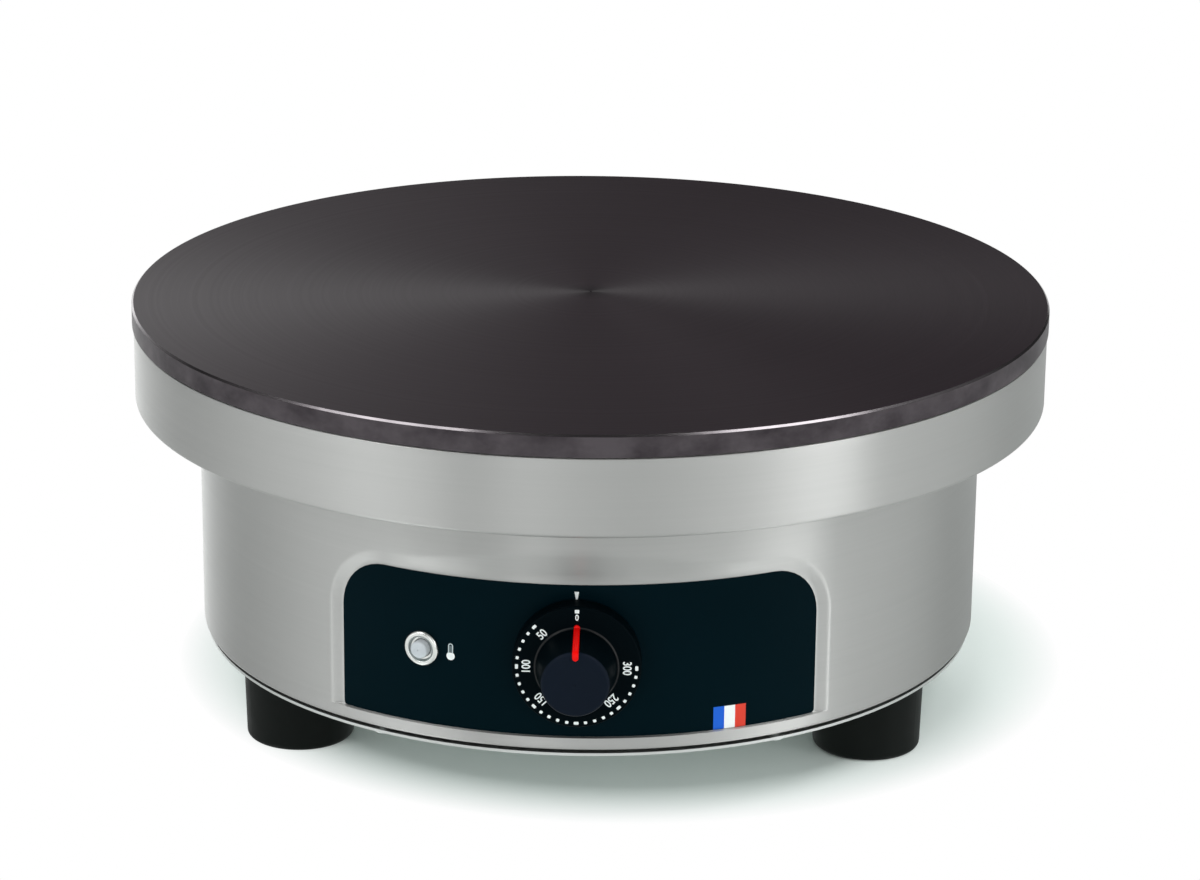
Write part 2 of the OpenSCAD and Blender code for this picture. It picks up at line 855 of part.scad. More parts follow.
module base_plate() {
    h = sheet_t + 2 * over;
    color(stainless)
        difference() {
            translate([0, 0, base_z])
                cylinder(d = base_d, h = sheet_t);
            translate([0, 0, base_z - over]) {
                at_rim_screws(base_screw_circle_d / 2, 0)
                    cylinder(r = m4_d / 2 + seat_fit, h = h);
                at_tie_rods()
                    cylinder(r = m8_d / 2 + seat_fit, h = h);
                at_earth()
                    cylinder(r = earth_d / 2 + seat_fit, h = h);
                for (x = [-1, 1])
                    translate([x * bracket_screw_x, bracket_screw_y, 0])
                        cylinder(r = m4_d / 2 + seat_fit, h = h);
                for (i = [0:vent_n - 1])
                    rotate(360 / vent_n * i)
                        translate([vent_r, 0, 0]) {
                            translate([0, -vent_w / 2, 0])
                                cube([vent_l, vent_w, h]);
                            for (x = [0, vent_l])
                                translate([x, 0, 0])
                                    cylinder(d = vent_w, h = h);
                        }
            }
            at_block()
                for (x = [-1, 1])
                    translate([x * block_screw_x, x * block_way_y / 2, -sheet_t - over])
                        cylinder(r = m4_d / 2 + seat_fit, h = h);
        }
}

module base_screws() {
    color(zinc)
        translate([0, 0, base_z])
            at_rim_screws(base_screw_circle_d / 2, 0)
                mirror([0, 0, 1])
                    pan_screw(2 * sheet_t + rivet_nut_h);
}

module base_screw_nuts() {
    color(zinc)
        translate([0, 0, drum_z + sheet_t])
            at_rim_screws(base_screw_circle_d / 2, 0)
                ring(rivet_nut_d / 2, m4_d / 2 + seat_fit, rivet_nut_h);
}

// ---- Feet ----

foot_pocket_d = washer_d + 4;
foot_pocket_h = washer_t + m8_nut_h + 3 * nut_room;
foot_low_edge = 2.5;
foot_top_edge = 0.8;
foot_insert_d = 14;
foot_insert_h = 15;

// Rubber foot number i, counted round from the rear
module foot(i) {
    top_r = foot_d / 2;
    low_r = top_r - foot_taper / 2;
    low = foot_low_edge;
    top = foot_top_edge;
    color(black)
        rotate(tie_rod_angle + 120 * i)
            translate([foot_r, 0, 0])
                difference() {
                    rotate_extrude()
                        polygon(concat([[0, 0]],
                            arc_points(low_r - low, low, low, -90, 0),
                            arc_points(top_r - top, foot_h - top, top, 0, 90, 3),
                            [[0, foot_h]]));
                    translate([0, 0, foot_h - foot_pocket_h])
                        cylinder(d = foot_pocket_d, h = foot_pocket_h + over);
                    translate([0, 0, foot_h - foot_pocket_h - foot_insert_h])
                        cylinder(d = foot_insert_d, h = foot_insert_h + over);
                }
}

module foot_rear() foot(0);
module foot_front_left() foot(1);
module foot_front_right() foot(2);

module foot_inserts() {
    color(zinc)
        translate([0, 0, foot_h - foot_pocket_h - foot_insert_h])
            at_tie_rods()
                ring(foot_insert_d / 2 - seat_fit, m8_d / 2 + seat_fit, foot_insert_h);
}

// ---- Controls ----

module control_overlay() {
    color(navy)
        difference() {
            intersection() {
                translate([0, 0, drum_z])
                    ring(overlay_r, recess_r + seat_fit, drum_h);
                front_block(overlay_r, panel_half_w, panel_z, panel_top_z, panel_corner_r, overlay_low_r);
            }
            outward(0, overlay_r - through, knob_z)
                cylinder(r = bush_d / 2 + hole_fit, h = 2 * through);
            outward(lamp_angle, overlay_r - through, lamp_z)
                cylinder(r = lamp_body_d / 2 + seat_fit, h = 2 * through);
        }
}

module control_bracket() {
    color(stainless)
        difference() {
            union() {
                translate([-bracket_half_w, -bracket_reach, drum_z])
                    cube([2 * bracket_half_w, sheet_t, knob_z + bracket_above_knob - drum_z]);
                translate([-bracket_half_w, -bracket_reach, drum_z])
                    cube([2 * bracket_half_w, bracket_foot, sheet_t]);
            }
            outward(0, bracket_reach - through, knob_z)
                cylinder(r = bush_d / 2 + seat_fit, h = 2 * through);
            for (y = [-1, 1])
                outward(0, bracket_reach - through, knob_z)
                    translate([0, y * thermostat_screw_pitch / 2, 0])
                        cylinder(r = m4_d / 2 + seat_fit, h = 2 * through);
            for (x = [-1, 1])
                translate([x * bracket_screw_x, bracket_screw_y, drum_z - over])
                    cylinder(r = m4_d / 2 + seat_fit, h = sheet_t + 2 * over);
        }
}

module bracket_screws() {
    color(zinc)
        for (x = [-1, 1])
            translate([x * bracket_screw_x, bracket_screw_y, drum_z + sheet_t])
                pan_screw(2 * sheet_t);
}

module thermostat_body() {
    color(ceramic)
        difference() {
            union() {
                outward(0, thermostat_back, knob_z)
                    translate([-thermostat_h / 2, -thermostat_w / 2, 0])
                        cube([thermostat_h, thermostat_w, thermostat_depth]);
                outward(0, thermostat_front - over, knob_z)
                    cylinder(d = bush_d, h = bush_tip - thermostat_front + over);
            }
            outward(0, spindle_root - spindle_end, knob_z)
                cylinder(r = spindle_d / 2 + running_fit, h = 2 * through);
            for (y = [-1, 1])
                outward(0, thermostat_front - thread_depth, knob_z)
                    translate([0, y * thermostat_screw_pitch / 2, 0])
                        cylinder(r = m4_d / 2 + seat_fit, h = thread_depth + over);
        }
}

module thermostat_screws() {
    color(zinc)
        for (y = [-1, 1])
            outward(0, bracket_reach, knob_z)
                translate([0, y * thermostat_screw_pitch / 2, 0])
                    pan_screw(sheet_t + thread_depth - 1);
}

// Blade terminals on the back: one live in, two live out
blade_places = [[blade_x, 0], [-blade_x, blade_dz], [-blade_x, -blade_dz]];

module thermostat_terminals() {
    color(copper)
        for (p = blade_places)
            translate([p[0] - blade_w / 2, -thermostat_back, knob_z + p[1] - blade_t / 2])
                cube([blade_w, blade_l, blade_t]);
}

module thermostat_spindle() {
    color(zinc)
        difference() {
            outward(0, spindle_root, knob_z)
                cylinder(d = spindle_d, h = spindle_tip - spindle_root);
            outward(0, knob_back - clip_inset, knob_z)
                translate([-spindle_d, -spindle_d, 0])
                    cube([spindle_d / 2 + spindle_flat, 2 * spindle_d, spindle_tip]);
        }
}

// Flank of the grip: its radius at height h above the dial's face
function grip_r(h) = (grip_base_d + (grip_face_d - grip_base_d) * h / grip_h) / 2;
grip_edge_r = 0.9;
grip_fillet_r = 1.6;
dial_edge_r = 0.9;
pointer_sunk = 0.9;
pointer_toe = 0.4;
pointer_bevel = 1.2;

module knob_outside() {
    dial_r = dial_d / 2;
    rotate_extrude()
        polygon(concat(
            [[0, 0], [dial_r, 0]],
            arc_points(dial_r - dial_edge_r, dial_t - dial_edge_r, dial_edge_r, 0, 90),
            arc_points(grip_r(grip_fillet_r) + grip_fillet_r, dial_t + grip_fillet_r, grip_fillet_r,
                270, 180),
            arc_points(grip_face_d / 2 - grip_edge_r, dial_t + grip_h - grip_edge_r, grip_edge_r,
                0, 90),
            [[0, dial_t + grip_h]]));
}

module knob_hollow() {
    difference() {
        rotate_extrude()
            polygon([[0, -over], [dial_d / 2 - knob_wall, -over],
                [dial_d / 2 - knob_wall, dial_t - knob_wall],
                [grip_r(0) - knob_wall - 1, dial_t - knob_wall],
                [grip_r(grip_h - knob_wall) - knob_wall - 1, dial_t + grip_h - knob_wall],
                [0, dial_t + grip_h - knob_wall]]);
        cylinder(d = hub_d, h = dial_t + grip_h);
    }
}

// Outline of the pointer bar, radius against height: down the flank of the grip
function pointer_outline(proud, sunk) = [
    [grip_r(0) + proud + pointer_toe, dial_t], [grip_r(0) + proud, dial_t + grip_fillet_r],
    [grip_r(grip_h) + proud, dial_t + grip_h - pointer_bevel],
    [grip_r(grip_h) + proud - pointer_bevel, dial_t + grip_h],
    [grip_r(grip_h) - sunk, dial_t + grip_h], [grip_r(0) - sunk, dial_t]];

module pointer_bar(proud, sunk, w) {
    translate([0, w / 2, 0])
        rotate([90, 0, 0])
            linear_extrude(w)
                polygon([for (p = pointer_outline(proud, sunk)) [-p[0], p[1]]]);
}

module knob_body() {
    bore_l = spindle_tip - knob_back + spindle_end;
    bore_flat = spindle_flat - clip_t - 2 * seat_fit;
    color(black)
        outward(0, knob_back, knob_z)
            difference() {
                knob_outside();
                knob_hollow();
                difference() {
                    translate([0, 0, -over])
                        cylinder(r = spindle_d / 2 + seat_fit, h = bore_l + over);
                    translate([-spindle_d, -spindle_d, -2 * over])
                        cube([spindle_d / 2 + bore_flat, 2 * spindle_d, bore_l + 4 * over]);
                }
                pointer_bar(pointer_proud + 2, pointer_sunk, pointer_w + 2 * seat_fit);
            }
}

module knob_pointer() {
    color("red")
        outward(0, knob_back, knob_z)
            pointer_bar(pointer_proud, pointer_sunk - seat_fit, pointer_w);
}

// Flat spring between the flat of the spindle and the flat of the hub
module knob_spring_clip() {
    color(zinc)
        outward(0, knob_back + clip_inset, knob_z)
            translate([-spindle_d / 2 + spindle_flat - clip_t - seat_fit, -clip_w / 2, 0])
                cube([clip_t, clip_w, spindle_tip - knob_back - 2 * clip_inset]);
}

// ---- Sensor and wires ----

bulb_z = plate_z + bulb_d / 2 - element_proud;
capillary_bend = 8;
capillary_drop = [-bulb_l / 2 - capillary_bend, -bulb_r];

module sensor_bulb() {
    color(copper)
        translate([-bulb_l / 2, -bulb_r, bulb_z])
            rotate([0, 90, 0])
                cylinder(d = bulb_d, h = bulb_l);
}

// Points of a smooth curve: each pass cuts the corners of the route
function quarter_points(p) = [for (i = [0:len(p) - 2], t = [0.25, 0.75])
    if (i + t > 0.5 && i + t < len(p) - 1.5)
        p[i] * (1 - t) + p[i + 1] * t];
function cut_corners(p, passes) = passes == 0 ? p
    : cut_corners(concat([p[0]], quarter_points(p), [p[len(p) - 1]]), passes - 1);
function unit(v) = v / norm(v);
function heading(p, i) = unit(p[min(i + 1, len(p) - 1)] - p[max(i - 1, 0)]);
// Side direction of each ring, carried along the curve so that the tube doesn't twist
function sides(p, i = 0, side = undef) =
    let (t = heading(p, i),
         seed = abs(t[2]) < 0.9 ? [0, 0, 1] : [1, 0, 0],
         s = side == undef ? unit(cross(t, seed)) : unit(side - t * (side * t)))
    i == len(p) - 1 ? [s] : concat([s], sides(p, i + 1, s));

// Tube of diameter d along a route of hand-chosen points
module tube_along(route, d, n = 8, passes = 2) {
    p = cut_corners(route, passes);
    s = sides(p);
    m = len(p);
    points = [for (i = [0:m - 1], k = [0:n - 1])
        let (b = cross(heading(p, i), s[i]))
        p[i] + d / 2 * (cos(360 / n * k) * s[i] + sin(360 / n * k) * b)];
    walls = [for (i = [0:m - 2], k = [0:n - 1])
        let (a = i * n + k, b = i * n + (k + 1) % n)
        each [[a, a + n, b + n], [a, b + n, b]]];
    polyhedron(points, concat([[for (k = [0:n - 1]) k]], walls,
        [[for (k = [n - 1:-1:0]) (m - 1) * n + k]]));
}

wire_d = 3.2;
capillary_route = [
    [-bulb_l / 2, -bulb_r, bulb_z],
    [-bulb_l / 2 - 3, -bulb_r, bulb_z],
    [capillary_drop[0], capillary_drop[1], bulb_z],
    [capillary_drop[0], capillary_drop[1], bulb_z - 6],
    [capillary_drop[0], capillary_drop[1], shield_z - 4],
    [capillary_drop[0], capillary_drop[1], shield_z - 12],
    [-58, -96, 124],
    [-66, -70, 118],
    [-36, -64, 114],
    [-12, -84, 112],
    [0, -116, 110],
    [0, -thermostat_front + 8, 108],
    [0, -thermostat_front + 8, knob_z + thermostat_h / 2 + 6],
    [0, -thermostat_front + 8, knob_z + thermostat_h / 2]
];

module capillary_tube() {
    color(copper)
        tube_along(capillary_route, capillary_d);
}

// A point before way y of the terminal block, d in front of its clamp
function way_ahead(y, d) = let (p = turned([block_r - clamp_size[0] / 2 - d, y], block_angle))
    [p[0], p[1], drum_z + block_size[2] / 2];
function blade_ahead(i, d) =
    [blade_places[i][0], -thermostat_back + blade_l + d, knob_z + blade_places[i][1]];
function below_pin(i, d) = [leg_xy(i)[0], leg_xy(i)[1], leg_end_z - pin_l - d];
// A point behind tab side (1 or -1) of the lamp, d from its end
function behind_lamp(side, d) = let (r = lamp_rear - lamp_tab_l - d, y = side * lamp_tab_x, a = lamp_angle)
    [r * sin(a) + y * cos(a), -r * cos(a) + y * sin(a), lamp_z];

earth_way = -block_way_y;
live_way = 0;
neutral_way = block_way_y;

module live_supply_wire() {
    color("saddlebrown")
        tube_along([way_ahead(live_way, 0), way_ahead(live_way, 8), way_ahead(live_way, 18), [56, 44, 50],
            [78, 0, 50], [66, -60, 54], [36, -86, 66], blade_ahead(0, 14), blade_ahead(0, 5),
            blade_ahead(0, 0)], wire_d);
}

module live_switched_wire() {
    color("black")
        tube_along([blade_ahead(1, 0), blade_ahead(1, 5), blade_ahead(1, 14), [0, -76, 90], [14, -40, 92],
            [22, 0, 94], below_pin(0, 18), below_pin(0, 6), below_pin(0, 0)], wire_d);
}

module neutral_wire() {
    color("royalblue")
        tube_along([way_ahead(neutral_way, 0), way_ahead(neutral_way, 8), way_ahead(neutral_way, 18),
            [26, 64, 64], below_pin(1, 36), below_pin(1, 6), below_pin(1, 0)], wire_d);
}

// Lamp wires: one to the second live blade, one to the neutral link
module indicator_wires() {
    color("gray") {
        tube_along([behind_lamp(1, 0), behind_lamp(1, 5), behind_lamp(1, 12), [-34, -92, 64],
            blade_ahead(2, 14), blade_ahead(2, 5), blade_ahead(2, 0)], lamp_wire_d);
        tube_along([behind_lamp(-1, 0), behind_lamp(-1, 5), behind_lamp(-1, 12), [-24, -88, 46],
            [30, -92, 44], [92, -52, 46], [100, 10, 56], [84, 60, 84], below_pin(3, 18),
            below_pin(3, 6), below_pin(3, 0)], lamp_wire_d);
    }
}

lamp_wire_d = 2;
earth_lug_z = drum_z + earth_nut_h;
earth_lug_d = 10;
earth_tab = 9;

module earth_wire() {
    lug = turned([earth_r, 0], earth_angle);
    tab = turned([earth_r - earth_tab + 1, 0], earth_angle);
    color("yellowgreen") {
        difference() {
            translate([lug[0], lug[1], earth_lug_z]) {
                cylinder(d = earth_lug_d, h = lug_t);
                rotate(earth_angle + 180)
                    translate([0, -2, 0])
                        cube([earth_tab, 4, lug_t]);
            }
            translate([lug[0], lug[1], earth_lug_z - over])
                cylinder(r = earth_d / 2 + seat_fit, h = lug_t + 2 * over);
        }
        tube_along([way_ahead(earth_way, 0), way_ahead(earth_way, 8), way_ahead(earth_way, 14), [72, 54, 46],
            [92, 38, 40], [tab[0], tab[1], earth_lug_z + lug_t / 2]], wire_d);
    }
}

// ---- Indicator lamp ----

module indicator_bezel() {
    r = bezel_d / 2;
    hole_r = lens_d / 2 + lens_fit;
    color(stainless)
        outward(lamp_angle, overlay_r, lamp_z)
            rotate_extrude()
                polygon([[hole_r, 0], [r, 0], [r, bezel_h / 2], [r - bezel_bevel, bezel_h],
                    [r - bezel_bevel - bezel_land, bezel_h], [hole_r + bezel_land, lens_seat],
                    [hole_r, lens_seat]]);
}

module indicator_lens() {
    r = lens_d / 2;
    rise = bezel_h / 2;
    ball_r = (r * r + rise * rise) / 2 / rise;
    color([0.9, 0.95, 0.98, 0.5])
        outward(lamp_angle, overlay_r, lamp_z) {
            cylinder(r = r, h = lens_seat);
            translate([0, 0, lens_seat - ball_r + rise])
                intersection() {
                    sphere(r = ball_r);
                    translate([0, 0, ball_r - rise])
                        cylinder(r = r, h = ball_r);
                }
        }
}

module indicator_body() {
    color(black)
        outward(lamp_angle, lamp_rear, lamp_z)
            cylinder(d = lamp_body_d, h = lamp_body_l);
}

lamp_nut_af = 14;
lamp_nut_h = 3;

module indicator_nut() {
    wall_r = recess_r - sheet_t;
    seat = sqrt(pow(wall_r, 2) - pow(lamp_nut_af / cos(30) / 2, 2));
    color(zinc)
        outward(lamp_angle, seat - lamp_nut_h, lamp_z)
            hex_nut(lamp_nut_af, lamp_body_d, lamp_nut_h);
}

module indicator_terminals() {
    color(copper)
        for (side = [-1, 1])
            outward(lamp_angle, lamp_rear - lamp_tab_l, lamp_z)
                translate([-lamp_tab_w / 2, side * lamp_tab_x - blade_t / 2, 0])
                    cube([lamp_tab_w, blade_t, lamp_tab_l]);
}

// ---- Mains inlet ----

module terminal_block() {
    color(ceramic)
        at_block()
            difference() {
                translate([-block_size[0] / 2, -block_size[1] / 2, 0])
                    cube(block_size);
                for (y = [earth_way, live_way, neutral_way]) {
                    translate([-block_size[0], y - clamp_size[1] / 2 - seat_fit,
                        (block_size[2] - clamp_size[2]) / 2 - seat_fit])
                        cube([2 * block_size[0], clamp_size[1] + 2 * seat_fit, clamp_size[2] + 2 * seat_fit]);
                    for (x = [-1, 1])
                        translate([x * clamp_screw_x, y, block_size[2] / 2])
                            cylinder(d = clamp_screw_d + 2 * hole_fit, h = block_size[2]);
                }
                for (x = [-1, 1])
                    translate([x * block_screw_x, x * block_way_y / 2, -over])
                        cylinder(r = m4_d / 2 + seat_fit, h = block_size[2] + 2 * over);
            }
}

clamp_screw_x = 6;
clamp_screw_d = 3;

// Clamps of the three ways, each with its two screws
module terminal_clamps() {
    color(copper)
        at_block()
            for (y = [earth_way, live_way, neutral_way]) {
                translate([-clamp_size[0] / 2, y - clamp_size[1] / 2, (block_size[2] - clamp_size[2]) / 2])
                    cube(clamp_size);
                for (x = [-1, 1])
                    translate([x * clamp_screw_x, y, block_size[2] / 2])
                        cylinder(d = clamp_screw_d, h = block_size[2] / 2 - clamp_screw_gap);
            }
}

module terminal_block_screws() {
    color(zinc)
        at_block()
            for (x = [-1, 1])
                translate([x * block_screw_x, x * block_way_y / 2, block_size[2]])
                    pan_screw(block_size[2] + sheet_t);
}

module earth_stud() {
    color(copper)
        translate([0, 0, base_z])
            at_earth()
                cylinder(d = earth_d, h = earth_stud_l);
}

module earth_nuts() {
    color(copper)
        at_earth()
            for (z = [drum_z, earth_lug_z + lug_t])
                translate([0, 0, z])
                    hex_nut(earth_nut_af, earth_d, earth_nut_h);
}

seal_out_d = gland_d - 5;
gland_bore_r = cable_d / 2 + hole_fit;

module gland_body() {
    tip = gland_flange_t + gland_thread_out;
    color(black)
        outward(gland_angle, drum_r, gland_z)
            difference() {
                union() {
                    translate([0, 0, -gland_thread_in])
                        cylinder(d = gland_d, h = gland_thread_in);
                    cylinder(d = gland_hex_af / cos(30), h = gland_flange_t, $fn = 6);
                    cylinder(d = gland_dome_thread_d, h = tip);
                }
                translate([0, 0, -gland_thread_in - over])
                    cylinder(r = gland_bore_r, h = gland_thread_in + tip + 2 * over);
                translate([0, 0, tip - seal_l])
                    cylinder(r = seal_out_d / 2 + seat_fit, h = seal_l + over);
            }
}

module gland_lock_nut() {
    seat = sqrt(pow(drum_in_r, 2) - pow(gland_lock_af / cos(30) / 2, 2));
    color(black)
        outward(gland_angle, seat - gland_lock_h, gland_z)
            hex_nut(gland_lock_af, gland_d, gland_lock_h);
}

// Rubber seal that grips the supply cable
module gland_seal() {
    color(black)
        outward(gland_angle, drum_r + gland_flange_t + gland_thread_out - seal_l, gland_z)
            ring(seal_out_d / 2, cable_d / 2, seal_l);
}

module gland_dome_nut() {
    rim_r = gland_hex_af / 2 + gland_dome_rim;
    dome_r = dome_l - gland_thread_out;
    socket_l = gland_thread_out + running_fit;
    color(black)
        outward(gland_angle, drum_r + gland_flange_t, gland_z)
            difference() {
                intersection() {
                    cylinder(d = gland_hex_af / cos(30), h = dome_l, $fn = 6);
                    rotate_extrude()
                        polygon(concat([[0, 0], [rim_r, 0], [rim_r, gland_thread_out]],
                            arc_points(cable_d / 2 + gland_dome_lip, gland_thread_out, dome_r, 0, 90),
                            [[0, dome_l]]));
                }
                translate([0, 0, -over])
                    cylinder(r = gland_dome_thread_d / 2 + seat_fit, h = socket_l + over);
                cylinder(r = gland_bore_r, h = dome_l + over);
            }
}

griddle_plate();
rim_gasket();
heating_element_inner();
heating_element_middle();
heating_element_outer();
element_end_beads();
element_pins();
element_link_live();
element_link_neutral();
clamp_plate();
plate_studs();
stud_nuts();
insulation_blanket();
heat_shield();
tie_rods();
tie_rod_washers();
tie_rod_nuts();
upper_skirt();
skirt_screws();
skirt_nuts();
drum_shell();
base_plate();
base_screws();
base_screw_nuts();
foot_front_left();
foot_front_right();
foot_rear();
foot_inserts();
control_overlay();
control_bracket();
bracket_screws();
thermostat_body();
thermostat_screws();
thermostat_terminals();
thermostat_spindle();
knob_body();
knob_pointer();
knob_spring_clip();
capillary_tube();
sensor_bulb();
indicator_bezel();
indicator_lens();
indicator_body();
indicator_nut();
indicator_terminals();
indicator_wires();
terminal_block();
terminal_clamps();
terminal_block_screws();
earth_stud();
earth_nuts();
gland_body();
gland_lock_nut();
gland_seal();
gland_dome_nut();
live_supply_wire();
live_switched_wire();
neutral_wire();
earth_wire();
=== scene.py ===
"""Electric crepe maker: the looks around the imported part. Metres, with sizes named in millimetres.

+Z is up, the control panel faces -Y, and the origin is on the floor below the plate's centre.
"""
import json
import math

import bpy
from mathutils import Matrix, Vector

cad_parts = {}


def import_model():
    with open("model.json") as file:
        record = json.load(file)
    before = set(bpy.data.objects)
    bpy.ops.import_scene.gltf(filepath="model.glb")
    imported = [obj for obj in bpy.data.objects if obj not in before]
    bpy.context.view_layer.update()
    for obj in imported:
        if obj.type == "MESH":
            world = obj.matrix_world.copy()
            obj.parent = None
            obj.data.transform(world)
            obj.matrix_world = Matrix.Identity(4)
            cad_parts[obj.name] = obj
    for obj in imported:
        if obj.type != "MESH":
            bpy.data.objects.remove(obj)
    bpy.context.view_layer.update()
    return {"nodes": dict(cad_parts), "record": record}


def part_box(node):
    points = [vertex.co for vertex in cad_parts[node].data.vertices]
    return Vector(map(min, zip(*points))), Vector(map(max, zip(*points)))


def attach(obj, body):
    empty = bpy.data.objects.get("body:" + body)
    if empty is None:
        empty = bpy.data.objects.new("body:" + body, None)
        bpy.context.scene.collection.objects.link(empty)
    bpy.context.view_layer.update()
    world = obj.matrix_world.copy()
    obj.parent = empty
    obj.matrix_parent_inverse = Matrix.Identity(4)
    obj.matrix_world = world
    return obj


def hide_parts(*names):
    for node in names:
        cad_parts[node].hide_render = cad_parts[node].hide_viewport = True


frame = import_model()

MM = 0.001

# Sizes in millimetres: the part's own, and the finer ones that only the looks have
PLATE_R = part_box("griddle_plate")[1][0] / MM
PLATE_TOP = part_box("griddle_plate")[1][2] / MM
RIM_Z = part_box("rim_gasket")[1][2] / MM
PLATE_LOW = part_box("griddle_plate")[0][2] / MM
PLATE_LEDGE = 12
PLATE_BEVEL = 0.8
LEDGE_EDGE = 0.3
SKIRT_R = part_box("upper_skirt")[1][0] / MM
SKIRT_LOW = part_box("upper_skirt")[0][2] / MM
SKIRT_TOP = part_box("upper_skirt")[1][2] / MM
DRUM_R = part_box("drum_shell")[1][0] / MM
DRUM_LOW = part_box("drum_shell")[0][2] / MM
DRUM_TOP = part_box("drum_shell")[1][2] / MM
BASE_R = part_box("base_plate")[1][0] / MM
BASE_OUT_R = 170.3
BASE_EDGE = 0.6
SHEET = 1.2
SKIRT_ROLL = 1.8
SKIRT_RIM_ROLL = 0.6
SKIRT_RIM_IN = 189.4
DRUM_ROLL = 1.3
DRUM_GAP = 1.7
TOP_FLANGE_R = 159.6
LOW_FLANGE_R = 156.6

PANEL_HALF = 104
PANEL_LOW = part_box("control_overlay")[0][2] / MM
PANEL_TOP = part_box("control_overlay")[1][2] / MM
PANEL_CORNER = 21
RECESS_DEPTH = 1.9
RECESS_WALL = 7
RECESS_TOP_WALL = 16
RECESS_LOW_WALL = 0.25
RECESS_LIP = 0.4
RECESS_FILLET = 0.28
OVERLAY_R = 170.0
OVERLAY_LOW = 41.4
OVERLAY_FOOT = PANEL_LOW + 2
LOW_WALL_FROM = OVERLAY_LOW - 0.05

# The knob: radii about its own axis, and places of its faces out from the drum's axis
KNOB_Z = 75.4
KNOB_TURN = 270
KNOB_BACK = 171.0
KNOB_FACE = 199.1
KNOB_WALL = 2.2
DIAL_R = 26.2
DIAL_FACE = 179.6
DIAL_EDGE = 0.9
DIAL_BACK_R = 24.0
DIAL_BACK_EDGE = 0.3
GRIP_BASE_R = 16.65
GRIP_FACE_R = 13.85
GRIP_WALL = 3.2
GRIP_FOOT_IN = 0.15
GRIP_FILLET = 1.0
GRIP_EDGE = 1.7
# The slight hollow of the grip's face: radius and depth
FACE_DISH = [(8, 0.02), (4, 0.04), (0.2, 0.05)]

LAMP_ARC = -65.4
LAMP_Z = 74.3
BEZEL_R = 7.6
LENS_R = 3.7

# How far print stands off its ground, and where the plate's mesh starts at its axis
PRINT = 0.03
PIN_R = 0.4


# ---- Shader helpers ----

class Shader:
    """A material's node tree, with short ways to add nodes to its Principled shader."""

    def __init__(self, name, **values):
        self.material = bpy.data.materials.new(name)
        self.material.use_nodes = True
        self.tree = self.material.node_tree
        self.bsdf = self.tree.nodes["Principled BSDF"]
        self.set(**values)

    def set(self, **values):
        for key, value in values.items():
            self.bsdf.inputs[key.replace("_", " ").title().replace("Ior", "IOR")].default_value = value

    def node(self, kind, links=None, **settings):
        made = self.tree.nodes.new(kind)
        for key, value in settings.items():
            setattr(made, key, value)
        for key, value in (links or {}).items():
            self.join(value, made.inputs[key])
        return made

    def join(self, value, socket):
        if isinstance(value, bpy.types.NodeSocket):
            self.tree.links.new(value, socket)
        else:
            socket.default_value = value

    def feed(self, name, value):
        self.join(value, self.bsdf.inputs[name])

    def place(self):
        return self.node("ShaderNodeTexCoord").outputs["Object"]

    def scaled(self, vector, scale):
        return self.node("ShaderNodeMapping", {"Vector": vector, "Scale": scale}).outputs[0]

    def math(self, operation, a, b=0.0):
        return self.node("ShaderNodeMath", {0: a, 1: b}, operation=operation).outputs[0]

    def noise(self, vector, scale, detail=2.0, roughness=0.5):
        links = {"Vector": vector, "Scale": scale, "Detail": detail, "Roughness": roughness}
        return self.node("ShaderNodeTexNoise", links).outputs["Fac"]

    def noise_of(self, value, scale, detail=2.0, roughness=0.5):
        """Noise along one value."""
        links = {"W": value, "Scale": scale, "Detail": detail, "Roughness": roughness}
        return self.node("ShaderNodeTexNoise", links, noise_dimensions="1D").outputs["Fac"]

    def ranged(self, value, low, high, out_low=0.0, out_high=1.0):
        links = {"Value": value, "From Min": low, "From Max": high,
                 "To Min": out_low, "To Max": out_high}
        return self.node("ShaderNodeMapRange", links).outputs[0]

    def mixed(self, factor, a, b):
        made = self.node("ShaderNodeMix", data_type="RGBA")
        self.join(factor, made.inputs[0])
        self.join(a, made.inputs[6])
        self.join(b, made.inputs[7])
        return made.outputs[2]

    def bump(self, height, distance, strength):
        links = {"Height": height, "Distance": distance, "Strength": strength}
        return self.node("ShaderNodeBump", links).outputs[0]

    def axis_radius(self, vector):
        """Distance of a point from the Z axis."""
        parts = self.node("ShaderNodeSeparateXYZ", {0: vector})
        squares = [self.math("MULTIPLY", parts.outputs[k], parts.outputs[k]) for k in (0, 1)]
        return self.math("SQRT", self.math("ADD", *squares))

    def around_z(self):
        """Makes a highlight spread across marks that run round the Z axis."""
        tangent = self.node("ShaderNodeTangent", direction_type="RADIAL", axis="Z")
        self.feed("Tangent", tangent.outputs[0])
        self.feed("Anisotropic Rotation", 0.25)


# ---- Materials ----

def brushed_stainless():
    """Satin stainless sheet with its brushing running round the casing."""
    s = Shader("brushed stainless", metallic=1.0, anisotropic=0.92)
    place = s.place()
    streaks = s.noise(s.scaled(place, (6, 6, 700)), 1.0, 4.0, 0.6)
    fine = s.noise(s.scaled(place, (14, 14, 3200)), 1.0, 2.0, 0.5)
    cloud = s.noise(place, 9.0, 2.0)
    tone = s.mixed(s.ranged(streaks, 0.3, 0.7), (0.447, 0.452, 0.444, 1), (0.463, 0.468, 0.459, 1))
    clouded = s.ranged(cloud, 0.35, 0.7, 0.0, 0.35)
    s.feed("Base Color", s.mixed(clouded, tone, (0.432, 0.440, 0.430, 1)))
    s.feed("Roughness", s.ranged(fine, 0.25, 0.75, 0.36, 0.40))
    s.feed("Normal", s.bump(s.math("ADD", streaks, fine), 0.000002, 0.4))
    s.around_z()
    return s.material


